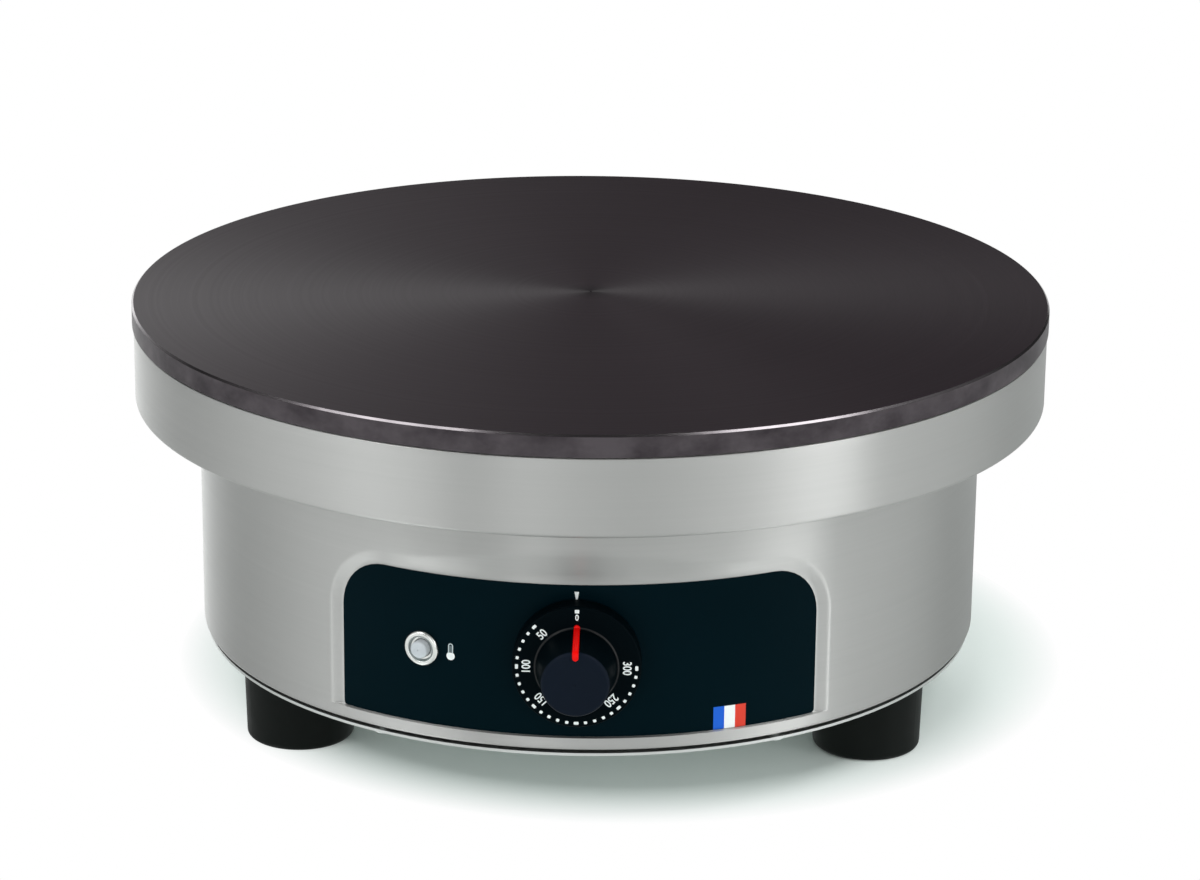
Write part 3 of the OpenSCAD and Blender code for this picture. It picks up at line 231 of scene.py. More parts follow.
def turned_iron():
    """Machined cast iron: a finely turned top, oiled and slightly purple, and a blotted side."""
    s = Shader("turned cast iron", anisotropic=0.7, specular_ior_level=0.075,
               specular_tint=(1.0, 0.82, 0.93, 1))
    place = s.place()
    radius = s.axis_radius(place)
    height = s.node("ShaderNodeSeparateXYZ", {0: place}).outputs[2]
    top = s.ranged(height, (PLATE_TOP - 1.0) * MM, (PLATE_TOP - 0.5) * MM)
    rings = s.noise_of(radius, 420.0, 3.0, 0.65)
    wide_rings = s.noise_of(radius, 45.0, 2.0)
    cloud = s.noise(place, 7.0, 3.0)
    blots = s.noise(s.scaled(place, (42, 42, 60)), 1.0, 4.0, 0.65)
    ringed = s.ranged(rings, 0.3, 0.7)
    tone = s.mixed(ringed, (0.0168, 0.0128, 0.0153, 1), (0.0186, 0.0142, 0.0169, 1))
    ringed_wide = s.ranged(wide_rings, 0.3, 0.7, 0.0, 0.2)
    tone = s.mixed(ringed_wide, tone, (0.0222, 0.0170, 0.0202, 1))
    clouded = s.ranged(cloud, 0.4, 0.7, 0.0, 0.4)
    tone = s.mixed(clouded, tone, (0.0148, 0.0114, 0.0135, 1))
    at_centre = s.ranged(radius, 0.002, 0.012, 0.75, 0.0)
    tone = s.mixed(at_centre, tone, (0.006, 0.005, 0.006, 1))
    blotted = s.ranged(blots, 0.35, 0.65)
    side = s.mixed(blotted, (0.034, 0.029, 0.033, 1), (0.078, 0.068, 0.075, 1))
    s.feed("Base Color", s.mixed(top, side, tone))
    s.feed("Roughness", s.ranged(rings, 0.3, 0.7, 0.40, 0.44))
    s.feed("Normal", s.bump(rings, 0.00002, 0.16))
    s.around_z()
    return s.material


def burnished_iron():
    """The plate's edge, where scrapers and cloths have rubbed the iron bright."""
    s = Shader("burnished iron", metallic=1.0)
    worn = s.noise(s.place(), 55.0, 3.0, 0.6)
    s.feed("Base Color", s.mixed(worn, (0.10, 0.092, 0.098, 1), (0.24, 0.222, 0.232, 1)))
    s.feed("Roughness", s.ranged(worn, 0.3, 0.7, 0.26, 0.17))
    return s.material


def overlay_film():
    """Dark printed film with a satin face."""
    s = Shader("overlay film", roughness=0.34, specular_ior_level=0.02)
    place = s.place()
    cloud = s.noise(place, 14.0)
    s.feed("Base Color", s.mixed(cloud, (0.0002, 0.0058, 0.0085, 1), (0.0005, 0.0072, 0.0112, 1)))
    s.feed("Normal", s.bump(s.noise(place, 2600.0, 1.0), 0.000004, 0.3))
    return s.material


def moulded(name, colour, roughness, grain=0.000006, level=0.5):
    """Moulded plastic or rubber: an even colour, slightly clouded, with a fine grain."""
    s = Shader(name, specular_ior_level=level)
    place = s.place()
    darker = tuple(0.82 * c for c in colour) + (1,)
    s.feed("Base Color", s.mixed(s.noise(place, 40.0), darker, tuple(colour) + (1,)))
    worn = s.noise(place, 160.0)
    s.feed("Roughness", s.ranged(worn, 0.3, 0.7, roughness - 0.03, roughness + 0.03))
    s.feed("Normal", s.bump(s.noise(place, 1900.0, 2.0), grain, 0.4))
    return s.material


def plain_metal(name, colour, roughness, grain=300.0):
    """Plated or rolled metal with a light grain."""
    s = Shader(name, metallic=1.0)
    place = s.place()
    lighter = tuple(min(1.12 * c, 1.0) for c in colour) + (1,)
    s.feed("Base Color", s.mixed(s.noise(place, 60.0, 3.0), tuple(colour) + (1,), lighter))
    worn = s.noise(place, grain)
    s.feed("Roughness", s.ranged(worn, 0.3, 0.7, roughness - 0.05, roughness + 0.06))
    s.feed("Normal", s.bump(s.noise(place, 1200.0), 0.000006, 0.3))
    return s.material


def fibre():
    """Pressed mineral wool with flattened strands."""
    s = Shader("mineral fibre", roughness=0.9)
    place = s.place()
    strands = s.noise(s.scaled(place, (1, 1, 4)), 260.0, 4.0, 0.7)
    s.feed("Base Color", s.mixed(strands, (0.50, 0.47, 0.40, 1), (0.80, 0.78, 0.72, 1)))
    s.feed("Normal", s.bump(strands, 0.0004, 0.6))
    return s.material


def clear_lens():
    """Frosted cap that looks pale from outside."""
    s = Shader("clear lens", roughness=0.20, specular_ior_level=0.3,
               coat_weight=0.2, coat_roughness=0.10)
    place = s.place()
    cloud = s.noise(place, 420.0)
    s.feed("Base Color", s.mixed(cloud, (0.46, 0.50, 0.54, 1), (0.62, 0.66, 0.69, 1)))
    s.feed("Normal", s.bump(s.noise(place, 700.0), 0.00002, 0.4))
    return s.material


def striped_wire():
    """Green wire with yellow bands."""
    s = Shader("green and yellow wire", roughness=0.4)
    band = s.ranged(s.noise(s.place(), 45.0), 0.48, 0.52)
    s.feed("Base Color", s.mixed(band, (0.06, 0.28, 0.05, 1), (0.70, 0.60, 0.04, 1)))
    return s.material


def ink(name, colour):
    """Screen print: a thin, nearly matt layer with a little unevenness."""
    s = Shader(name, roughness=0.45, specular_ior_level=0.3)
    place = s.place()
    paler = tuple(min(1.06 * c, 1.0) for c in colour) + (1,)
    s.feed("Base Color", s.mixed(s.noise(place, 900.0), tuple(colour) + (1,), paler))
    return s.material


STAINLESS = brushed_stainless()
IRON = turned_iron()
IRON_EDGE = burnished_iron()
OVERLAY = overlay_film()
KNOB_BLACK = moulded("black dial", (0.0005, 0.0028, 0.0042), 0.48, level=0.02)
# A lighter, bluer copy of the knob's black, for the grip's face only: painted light on the face that
# looks to the lamps. The grip's flanks take the darker dial black as painted shade.
KNOB_LIT_FACE = moulded("black grip face with painted light", (0.0045, 0.0085, 0.0165), 0.42, level=0.05)
KNOB_FILLET = moulded("polished black", (0.0010, 0.0020, 0.0030), 0.32, level=0.26)
POINTER_RED = moulded("red pointer", (0.86, 0.003, 0.002), 0.30, level=0.12)
RUBBER = moulded("black rubber", (0.0012, 0.0030, 0.0022), 0.5, 0.00004, 0.12)
BLACK_PLASTIC = moulded("black plastic", (0.012, 0.012, 0.013), 0.5, 0.00002)
CERAMIC = moulded("glazed ceramic", (0.78, 0.76, 0.70), 0.2)
FIBRE = fibre()
SHEATH = plain_metal("annealed sheath", (0.22, 0.23, 0.21), 0.42)
ZINC = plain_metal("zinc plate", (0.66, 0.69, 0.68), 0.3)
BRASS = plain_metal("brass", (0.70, 0.50, 0.26), 0.28)
SHEET_STEEL = plain_metal("plain sheet", (0.56, 0.58, 0.57), 0.34)
CHROME = plain_metal("bright chrome", (0.68, 0.70, 0.68), 0.20, 90.0)
LENS = clear_lens()
WHITE_INK = ink("white print", (0.86, 0.90, 0.90))
PALE_INK = ink("pale grey print", (0.52, 0.60, 0.62))
GREY_INK = ink("grey print", (0.10, 0.13, 0.14))
BLUE_INK = ink("blue print", (0.0, 0.105, 0.62))
RED_INK = ink("orange red print", (0.68, 0.042, 0.020))

SLOT_MATERIALS = {
    "turned_cast_iron": IRON,
    "gasket_fibre": FIBRE,
    "element_sheath": SHEATH,
    "ceramic": CERAMIC,
    "galvanised_steel": ZINC,
    "brass_parts": BRASS,
    "brushed_stainless": STAINLESS,
    "sheet_steel": SHEET_STEEL,
    "foot_rubber": RUBBER,
    "overlay_film": OVERLAY,
    "knob_black": KNOB_BLACK,
    "pointer_red": POINTER_RED,
    "thermostat_plastic": BLACK_PLASTIC,
    "bezel_chrome": CHROME,
    "clear_lens": LENS,
    "gland_plastic": BLACK_PLASTIC,
    "wire_brown": moulded("brown wire", (0.16, 0.06, 0.025), 0.4),
    "wire_black": moulded("black wire", (0.015, 0.015, 0.016), 0.4),
    "wire_blue": moulded("blue wire", (0.02, 0.10, 0.45), 0.4),
    "wire_green_yellow": striped_wire(),
    "wire_grey": moulded("grey wire", (0.25, 0.25, 0.26), 0.4),
}
SMOOTH_ANGLE = math.radians(32)


def dress_nodes():
    """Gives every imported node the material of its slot."""
    slots = {part["node"]: part["material_slot"] for part in frame["record"]["subparts"]}
    for name, obj in frame["nodes"].items():
        obj.data.materials.clear()
        obj.data.materials.append(SLOT_MATERIALS[slots[name]])


# ---- Mesh helpers ----

def piece(name, verts, faces, material, body="housing", smooth=True):
    """A mesh from points in millimetres, riding on a body."""
    mesh = bpy.data.meshes.new(name)
    mesh.from_pydata([tuple(MM * c for c in v) for v in verts], [], faces)
    mesh.validate()
    if smooth:
        mesh.shade_smooth()
        mesh.set_sharp_from_angle(angle=SMOOTH_ANGLE)
    obj = bpy.data.objects.new(name, mesh)
    bpy.context.scene.collection.objects.link(obj)
    obj.data.materials.append(material)
    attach(obj, body)
    return obj


def more_material(obj, material, chosen):
    """Gives the faces whose middle is chosen another material of the same slot."""
    obj.data.materials.append(material)
    for face in obj.data.polygons:
        if chosen(face.center):
            face.material_index = len(obj.data.materials) - 1


def arc(x, y, r, start, end, steps=8):
    """Points on an arc round (x, y), with angles in degrees."""
    angles = [math.radians(start + (end - start) * i / steps) for i in range(steps + 1)]
    return [(x + r * math.cos(a), y + r * math.sin(a)) for a in angles]


def ring_faces(turns, count):
    """Faces of a ring of closed sections, each with count points."""
    faces = []
    for i in range(turns):
        j = (i + 1) % turns
        for k in range(count):
            m = (k + 1) % count
            faces.append((i * count + k, j * count + k, j * count + m, i * count + m))
    return faces


def revolve(name, profile, material, segments, body="housing", turn=None):
    """Turns a closed profile of (radius, height) points round Z, or round the axis that turn gives."""
    verts = []
    count = len(profile)
    for i in range(segments):
        a = 2 * math.pi * i / segments
        verts += [(r * math.cos(a), r * math.sin(a), z) for r, z in profile]
    faces = ring_faces(segments, count)
    if turn:
        verts = [turn @ Vector(v) for v in verts]
    return piece(name, verts, faces, material, body)


def altered(node, name, material, change):
    """A piece in place of a node: a copy of its mesh, with change run on every vertex's place."""
    mesh = frame["nodes"][node].data.copy()
    for v in mesh.vertices:
        change(v.co)
    mesh.materials.clear()
    mesh.materials.append(material)
    obj = bpy.data.objects.new(name, mesh)
    bpy.context.scene.collection.objects.link(obj)
    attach(obj, "housing")
    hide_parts(node)


def on_front(arc_length, z, r):
    """Point on a cylinder of radius r round the drum's axis, arc to the right of the front."""
    a = arc_length / r
    return (r * math.sin(a), -r * math.cos(a), z)


# ---- Casing ----

def wall_slope(t):
    """Height of the pressed wall, 0 at its foot and 1 at its rim: a fillet, a straight and a fillet."""
    f = RECESS_FILLET
    t = min(max(t, 0.0), 1.0)
    if t < f:
        return t * t / (2 * f * (1 - f))
    if t > 1 - f:
        return 1 - (1 - t) ** 2 / (2 * f * (1 - f))
    return (t - f / 2) / (1 - f)


def pressed_in(arc_length, z):
    """How far the drum's wall is pressed in at a place, in millimetres.

    The pressed wall is short at the panel's sides and runs out gently above its middle.
    """
    dx = abs(arc_length) - (PANEL_HALF - PANEL_CORNER)
    dz = z - (PANEL_TOP - PANEL_CORNER)
    if dx > 0 and dz > 0:
        out = math.hypot(dx, dz) - PANEL_CORNER
    else:
        out = max(dx, dz) - PANEL_CORNER
    middle = max(1 - abs(arc_length) / (PANEL_HALF - PANEL_CORNER), 0.0)
    wall = RECESS_WALL + (RECESS_TOP_WALL - RECESS_WALL) * middle * middle * (3 - 2 * middle)
    side = max(out - RECESS_LIP, 0.0) / wall
    low = max(LOW_WALL_FROM - z, 0.0) / RECESS_LOW_WALL
    return RECESS_DEPTH * (1 - wall_slope(math.hypot(side, low)))


def drum_angles():
    """Angles round the drum from the back to the back, close together at the recess's side walls."""
    wall_from = (PANEL_HALF - PANEL_CORNER) / DRUM_R
    wall_to = (PANEL_HALF + RECESS_WALL + 2) / DRUM_R
    coarse, fine = math.radians(1.5), 0.45 / DRUM_R

    def spread(a, b, step):
        n = max(round((b - a) / step), 1)
        return [a + (b - a) * i / n for i in range(n)]

    half = spread(0, wall_from, coarse / 2) + spread(wall_from, wall_to, fine)
    half += spread(wall_to, math.pi, coarse)
    return [-a for a in reversed(half[1:])] + half


def rows(low, high, n):
    """Heights above low, up to and with high, in n even steps."""
    return [low + (high - low) * i / n for i in range(1, n + 1)]


# Rows of the drum's mesh: up to which height, and how many; close together along the recess
WALL_ROWS = [(OVERLAY_LOW - 0.5, 4), (OVERLAY_LOW + 0.1, 10), (PANEL_TOP - PANEL_CORNER, 16),
             (PANEL_TOP + RECESS_TOP_WALL + 1, 78), (DRUM_TOP, 4)]


def drum():
    """The casing's drum: a pressed sheet with the recess for the panel and a lower edge turned in.

    The edge stands a little above the base plate, so a narrow gap shows between them.
    """
    edge = DRUM_LOW + DRUM_GAP
    roll = arc(DRUM_R - DRUM_ROLL, edge + DRUM_ROLL, DRUM_ROLL, -90, 0, 8)
    roll_in = arc(DRUM_R - DRUM_ROLL, edge + DRUM_ROLL, DRUM_ROLL - SHEET, 0, -90, 8)
    wall_z = [edge + DRUM_ROLL]
    for height, count in WALL_ROWS:
        wall_z += rows(wall_z[-1], height, count)
    wall_z = wall_z[1:]
    outside = [(LOW_FLANGE_R, edge)] + roll + [(DRUM_R, z) for z in wall_z]
    outside += [(TOP_FLANGE_R, DRUM_TOP)]
    inner_r = DRUM_R - SHEET
    inner_top = DRUM_TOP - SHEET
    inside = [(TOP_FLANGE_R, inner_top)] + [(inner_r, z) for z in reversed(wall_z) if z < inner_top]
    inside += roll_in + [(LOW_FLANGE_R, edge + SHEET)]
    profile = outside + inside
    angles = drum_angles()
    verts = []
    for a in angles:
        for r, z in profile:
            on_wall = r > inner_r - 0.01 and z > edge + DRUM_ROLL
            inset = pressed_in(a * DRUM_R, z) if on_wall else 0.0
            verts.append(((r - inset) * math.sin(a), -(r - inset) * math.cos(a), z))
    faces = ring_faces(len(angles), len(profile))
    obj = piece("drum_casing", verts, faces, STAINLESS)
    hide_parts("drum_shell")


def base_disc():
    """The base plate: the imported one, with its edge let out until it shows under the drum."""
    def let_out(co):
        if math.hypot(co.x, co.y) > (BASE_R - BASE_EDGE) * MM:
            co.x *= BASE_OUT_R / BASE_R
            co.y *= BASE_OUT_R / BASE_R

    altered("base_plate", "base_disc", SHEET_STEEL, let_out)


def skirt():
    """The collar under the plate, with its lower edge rolled in to the drum."""
    cx, cz = SKIRT_R - SKIRT_ROLL, SKIRT_LOW + SKIRT_ROLL
    profile = [(TOP_FLANGE_R, SKIRT_LOW)]
    profile += arc(cx, cz, SKIRT_ROLL, -90, 0, 10)
    profile += [(SKIRT_R, SKIRT_LOW + (SKIRT_TOP - SKIRT_LOW) * i / 6) for i in range(1, 6)]
    profile += arc(SKIRT_R - SKIRT_RIM_ROLL, SKIRT_TOP - SKIRT_RIM_ROLL, SKIRT_RIM_ROLL, 0, 90, 5)
    profile += [(SKIRT_RIM_IN, SKIRT_TOP), (SKIRT_RIM_IN, SKIRT_TOP - SHEET)]
    profile += [(SKIRT_R - SHEET, SKIRT_TOP - SHEET)]
    profile += arc(cx, cz, SKIRT_ROLL - SHEET, 0, -90, 6)
    profile += [(TOP_FLANGE_R, SKIRT_LOW + SHEET)]
    obj = revolve("skirt_collar", profile, STAINLESS, 480)
    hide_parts("upper_skirt")


def griddle():
    """The plate, with its machined top, bevelled rim and ledge."""
    core = PLATE_R - PLATE_LEDGE
    bevel_low, bevel_in = PLATE_TOP - PLATE_BEVEL, PLATE_R - PLATE_BEVEL
    profile = [(PIN_R, PLATE_LOW), (core, PLATE_LOW), (core, RIM_Z)]
    profile += [(PLATE_R - LEDGE_EDGE, RIM_Z), (PLATE_R, RIM_Z + LEDGE_EDGE)]
    profile += [(PLATE_R, bevel_low - 1), (PLATE_R, bevel_low), (bevel_in, PLATE_TOP)]
    profile += [(bevel_in - 1, PLATE_TOP)]
    profile += [(r, PLATE_TOP) for r in (180, 140, 100, 60, 30, 10, PIN_R)]
    obj = revolve("griddle_top", profile, IRON, 480)
    more_material(obj, IRON_EDGE, lambda c: bevel_low < c.z / MM < PLATE_TOP - 0.1)
    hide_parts("griddle_plate")


# ---- Knob ----

OUT_OF_KNOB = Matrix.Translation((0, 0, KNOB_Z)) @ Matrix.Rotation(math.radians(90), 4, "X")

# Middles of the fillet at the grip's foot and of the rounding at its face: radius and distance out
FILLET_AT = (GRIP_BASE_R - GRIP_FOOT_IN + GRIP_FILLET, DIAL_FACE + GRIP_FILLET)
EDGE_AT = (GRIP_FACE_R - GRIP_EDGE, KNOB_FACE - GRIP_EDGE)


def knob():
    """Dial skirt and tapered grip, turned round the knob's axis, with a nearly flat face."""
    inner_face, inner_dial = KNOB_FACE - KNOB_WALL, DIAL_FACE - KNOB_WALL
    profile = [(DIAL_BACK_R, KNOB_BACK), (DIAL_R - DIAL_BACK_EDGE, KNOB_BACK)]
    profile += [(DIAL_R, KNOB_BACK + DIAL_BACK_EDGE)]
    profile += arc(DIAL_R - DIAL_EDGE, DIAL_FACE - DIAL_EDGE, DIAL_EDGE, 0, 90, 8)
    profile += arc(*FILLET_AT, GRIP_FILLET, 270, 180, 10) + arc(*EDGE_AT, GRIP_EDGE, 5, 90, 12)
    profile += [(r, KNOB_FACE - dip) for r, dip in FACE_DISH]
    profile += [(FACE_DISH[-1][0], inner_face), (GRIP_FACE_R - GRIP_WALL, inner_face)]
    profile += [(GRIP_BASE_R - GRIP_WALL, inner_dial), (DIAL_BACK_R, inner_dial)]
    obj = revolve("knob_moulding", profile, KNOB_BLACK, 160, "knob", OUT_OF_KNOB)
    face_from, fillet_to = EDGE_AT[1] + 0.4, FILLET_AT[1] - 0.1
    # The grip's face gets the lighter copy as painted light, and its flanks keep the dial's black as
    # painted shade.
    more_material(obj, KNOB_LIT_FACE, lambda c: -c.y / MM > face_from)
    more_material(obj, KNOB_FILLET, lambda c: DIAL_FACE + 0.02 < -c.y / MM < fillet_to)
    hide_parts("knob_body")


POINTER_W = 2.6
POINTER_PROUD = 0.85
POINTER_SUNK = 0.6
POINTER_TOE = 0.9
POINTER_END_R = 10.4
POINTER_LEAN = math.radians(8)
# The pointer's section: place across, and height, both as shares
POINTER_SECTION = [(-1, 0.0), (-1, 0.55), (-0.9, 0.82), (-0.7, 0.96), (0, 1.0),
                   (0.7, 0.96), (0.9, 0.82), (1, 0.55), (1, 0.0)]


def pointer_line():
    """Stations of the pointer along the grip from the dial to the face: place and outward direction."""
    line = [((FILLET_AT[0] + POINTER_TOE * k / 3, DIAL_FACE), (0, 1)) for k in (3, 2, 1)]
    for a in range(270, 179, -15):
        c, d = math.cos(math.radians(a)), math.sin(math.radians(a))
        line.append(((FILLET_AT[0] + GRIP_FILLET * c, FILLET_AT[1] + GRIP_FILLET * d), (-c, -d)))
    foot = line[-1][0]
    for k in range(1, 12):
        t = k / 12
        place = (foot[0] + (GRIP_FACE_R - foot[0]) * t, foot[1] + (EDGE_AT[1] - foot[1]) * t)
        line.append((place, (math.cos(POINTER_LEAN), math.sin(POINTER_LEAN))))
    for a in range(10, 91, 8):
        c, d = math.cos(math.radians(a)), math.sin(math.radians(a))
        line.append(((EDGE_AT[0] + GRIP_EDGE * c, EDGE_AT[1] + GRIP_EDGE * d), (c, d)))
    run = POINTER_END_R - EDGE_AT[0]
    line += [((EDGE_AT[0] + run * k / 3, KNOB_FACE), (0, 1)) for k in (1, 2, 3)]
    return line


def pointer():
    """The red bar let into the grip: round at both ends, from the dial over the grip's front edge."""
    line = pointer_line()
    along = [0.0]
    for (p, _), (q, _) in zip(line, line[1:]):
        along.append(along[-1] + math.dist(p, q))
    half = POINTER_W / 2
    verts, faces = [], []
    for (place, out), s in zip(line, along):
        from_end = min(s, along[-1] - s, half)
        round_off = math.sqrt(max(1 - (1 - from_end / half) ** 2, 0.004))
        for x, h in POINTER_SECTION:
            rise = -POINTER_SUNK + (POINTER_SUNK + POINTER_PROUD * (0.6 + 0.4 * round_off)) * h
            r, d = place[0] + out[0] * rise, place[1] + out[1] * rise
            verts.append((x * half * round_off, -d, KNOB_Z + r))
    n = len(POINTER_SECTION)
    for i in range(len(line) - 1):
        for k in range(n):
            m = (k + 1) % n
            faces.append((i * n + k, i * n + m, (i + 1) * n + m, (i + 1) * n + k))
    faces += [tuple(reversed(range(n))), tuple(range((len(line) - 1) * n, len(line) * n))]
    obj = piece("pointer_inlay", verts, faces, POINTER_RED, "knob")
    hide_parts("knob_pointer")


def dial_point(angle, r, x=0.0):
    """Place on the dial's face, angle counter-clockwise from the top as seen from the front.

    x is a step along the ring.
    """
    c, d = math.cos(math.radians(angle)), math.sin(math.radians(angle))
    return (x * c - r * d, -DIAL_FACE - PRINT, KNOB_Z + r * c + x * d)


def dial_mark(name, angle, r, width, height, corner):
    """One printed mark: a small rounded rectangle, width along the ring."""
    outline = []
    half_w, half_h = width / 2 - corner, height / 2 - corner
    for cx, cy, start in ((1, 1, 0), (-1, 1, 90), (-1, -1, 180), (1, -1, 270)):
        outline += arc(cx * half_w, cy * half_h, corner, start, start + 90, 4)
    verts = [dial_point(angle, r + y, x) for x, y in outline]
    piece(name, verts, [tuple(range(len(verts)))], WHITE_INK, "knob", False)


TEXT_BOLDER = 0.09
TEXT_EXTRUDE = 0.01
TEXT_SPACING = 0.98
TEXT_NARROWED = 0.82


def dial_number(text, angle, r, size):
    """A printed number, upright when its place is turned to the top."""
    curve = bpy.data.curves.new("dial_number_" + text, "FONT")
    curve.body = text
    curve.size = size * MM
    curve.align_x = "CENTER"
    curve.align_y = "CENTER"
    curve.offset = TEXT_BOLDER * MM
    curve.extrude = TEXT_EXTRUDE * MM
    curve.space_character = TEXT_SPACING
    obj = bpy.data.objects.new("dial_number_" + text, curve)
    bpy.context.scene.collection.objects.link(obj)
    stand = Matrix.Rotation(math.radians(90), 4, "X")
    turned = Matrix.Rotation(math.radians(-angle), 4, "Y")
    obj.matrix_world = (Matrix.Translation([MM * c for c in dial_point(angle, r)]) @ turned @ stand
                        @ Matrix.Diagonal((TEXT_NARROWED, 1, 1, 1)))
    curve.materials.append(WHITE_INK)
    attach(obj, "knob")


MARK_RING = 24.3
MARK_W, MAIN_MARK_W, MARK_H, MARK_CORNER = 1.35, 2.0, 1.25, 0.38
OFF_MARK = {"r": MARK_RING - 0.2, "width": 1.8, "height": 1.5, "corner": 0.2}
NUMBER_RING = 20.3
# How far these numbers stand in from their ring
NUMBER_IN = {50: 0.5, 150: 0.5, 200: 1.9, 250: 0.5}
NUMBER_SIZE = 4.9
ZERO_RING, ZERO_SIZE = MARK_RING - 2.9, 3.6
MAIN_STEP = 45
FINE_STEP = 9


def dial_print():
    """Marks and numbers of the dial: 0, and 50 to 300 by 50, a main step apart."""
    dial_mark("dial_mark_off", 0, **OFF_MARK)
    dial_number("0", 0, ZERO_RING, ZERO_SIZE)
    for angle in range(MAIN_STEP, KNOB_TURN + 1, FINE_STEP):
        width = MAIN_MARK_W if angle % MAIN_STEP == 0 else MARK_W
        dial_mark("dial_mark_%03d" % angle, angle, MARK_RING, width, MARK_H, MARK_CORNER)
    for k in range(1, 7):
        number = 50 * k
        ring = NUMBER_RING - NUMBER_IN.get(number, 0)
        dial_number(str(number), MAIN_STEP * k, ring, NUMBER_SIZE)


# ---- Panel and lamp ----

def overlay():
    """The panel's film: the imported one, with its lower edge let down to the edge of the recess."""
    def let_down(co):
        if co.z < OVERLAY_FOOT * MM:
            co.z += (OVERLAY_LOW - PANEL_LOW) * MM

    altered("control_overlay", "overlay_panel", OVERLAY, let_down)


LENS_PIN_R = 0.05
# The cap's top, with a pip in its middle: radius and height
LENS_TOP = [(2.0, 4.0), (1.0, 4.08), (0.45, 4.1), (0.25, 3.8), (LENS_PIN_R, 3.75)]


def indicator():
    """Indicator lamp: a rounded bright ring round a clear cap that stands proud of it."""
    place = Vector(on_front(LAMP_ARC, LAMP_Z, OVERLAY_R))
    out = (Matrix.Translation(place) @ Matrix.Rotation(LAMP_ARC / OVERLAY_R, 4, "Z")
           @ Matrix.Rotation(math.radians(90), 4, "X"))
    back, seat, bore = -0.3, 0.5, LENS_R + 0.3
    outer, outer_z, inner, inner_z = 1.4, 0.7, 0.7, 1.4
    ring = [(bore, back), (BEZEL_R - 0.2, back)] + arc(BEZEL_R - outer, outer_z, outer, 0, 90, 10)
    ring += arc(BEZEL_R - outer - 0.2, inner_z, inner, 90, 180, 8)
    ring += [(bore + 0.8, seat + 0.1), (bore, seat)]
    bezel = revolve("lamp_bezel", ring, CHROME, 96, turn=out)
    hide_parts("indicator_bezel")
    foot, edge, shoulder = 0.2, 0.7, 3.2
    cap = [(LENS_PIN_R, foot), (LENS_R, foot)] + arc(LENS_R - edge, shoulder, edge, 0, 80, 8)
    cap += LENS_TOP
    lens = revolve("lamp_cap", cap, LENS, 96, turn=out)
    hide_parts("indicator_lens")


# ---- Panel print ----

def panel_patches(name, outlines, material):
    """Printed shapes on the overlay, each from (arc, height) points in order."""
    verts, faces = [], []
    for outline in outlines:
        faces.append(tuple(range(len(verts), len(verts) + len(outline))))
        verts += [on_front(x, z, OVERLAY_R + PRINT) for x, z in outline]
    piece(name, verts, faces, material, smooth=False)


def panel_grid(name, x0, x1, z0, z1, material):
    """A printed rectangle that follows the curve of the overlay."""
    steps = 8
    r = OVERLAY_R + PRINT
    verts, faces = [], []
    for i in range(steps + 1):
        x = x0 + (x1 - x0) * i / steps
        verts += [on_front(x, z0, r), on_front(x, z1, r)]
    for i in range(steps):
        faces.append((2 * i, 2 * i + 2, 2 * i + 3, 2 * i + 1))
    piece(name, verts, faces, material, smooth=False)


# The pointed mark above the dial, a little left of the knob's axis: arc and height
INDEX_MARK = [(0.5, 104.4), (-0.2, 99.9), (-0.5, 99.9), (-1.4, 104.4)]


def thermometer():
    """Thermometer sign beside the lamp: an outlined tube over a filled bulb."""
    x, bulb_z, top_z = -52.85, 72.4, 76.8
    bulb_r, tube_r, line = 1.8, 1.08, 0.42
    neck = math.degrees(math.asin(tube_r / bulb_r))
    inner_r = tube_r - line
    slit_z = bulb_z + 0.85 * bulb_r
    bulb = arc(x, bulb_z, bulb_r, 90 + neck, 450 - neck, 24)
    cap = arc(x, top_z, tube_r, 0, 180, 10) + arc(x, top_z, inner_r, 180, 0, 10)
    sides = []
    for side in (-1, 1):
        a, b = sorted((x + side * inner_r, x + side * tube_r))
        sides.append([(a, slit_z - line), (b, slit_z - line), (b, top_z), (a, top_z)])
    left, right = x - inner_r, x + inner_r
    column = [(left, slit_z), (right, slit_z), (right, top_z), (left, top_z)]
    panel_patches("thermometer_bulb", [bulb], WHITE_INK)
    panel_patches("thermometer_tube", [cap] + sides, PALE_INK)
    panel_patches("thermometer_column", [column], GREY_INK)


STRIPES_FROM, STRIPES_TO = 56.8, 71.1
STRIPES_LOW, STRIPES_TOP = OVERLAY_LOW + 0.05, 51.4


def striped_tab():
    """Tab of three upright stripes that stands on the lower edge of the overlay."""
    width = (STRIPES_TO - STRIPES_FROM) / 3
    for k, material in enumerate((BLUE_INK, WHITE_INK, RED_INK)):
        start = STRIPES_FROM + k * width
        panel_grid("tab_stripe_%d" % (k + 1), start, start + width, STRIPES_LOW, STRIPES_TOP, material)


# ---- Stage ----

# Lengths in metres. To the camera the floor is painted white round the shadow, from SHADOW_NEAR to
# SHADOW_FAR off a centre set right of and behind the object, so the shadow's edge and reach are
# painted, with a painted green tint where the white meets the shadow. In mirroring metal the floor
# glows with a
# painted light: a share of white near the object, falling from GLOW_LEFT on the left to GLOW_RIGHT on
# the right across it, and white from GLOW_FAR on.
FLOOR_HALF = 14.0
FLOOR_COLOUR = (0.88, 0.96, 0.93, 1)
# Colour of the painted glow where it meets the shadow: a green tint
PAINTED_GLOW_TINT = (0.86, 0.96, 0.92, 1)
FLOOR_SHEEN = 0.5
PAINTED_SHADOW_CENTRE = (0.014, 0.038, 0.0)
SHADOW_NEAR, SHADOW_FAR = 0.163, 0.202
GLOW_LEFT, GLOW_RIGHT, GLOW_ACROSS = 0.50, 0.27, 0.5
GLOW_NEAR, GLOW_FAR = 0.45, 2.20


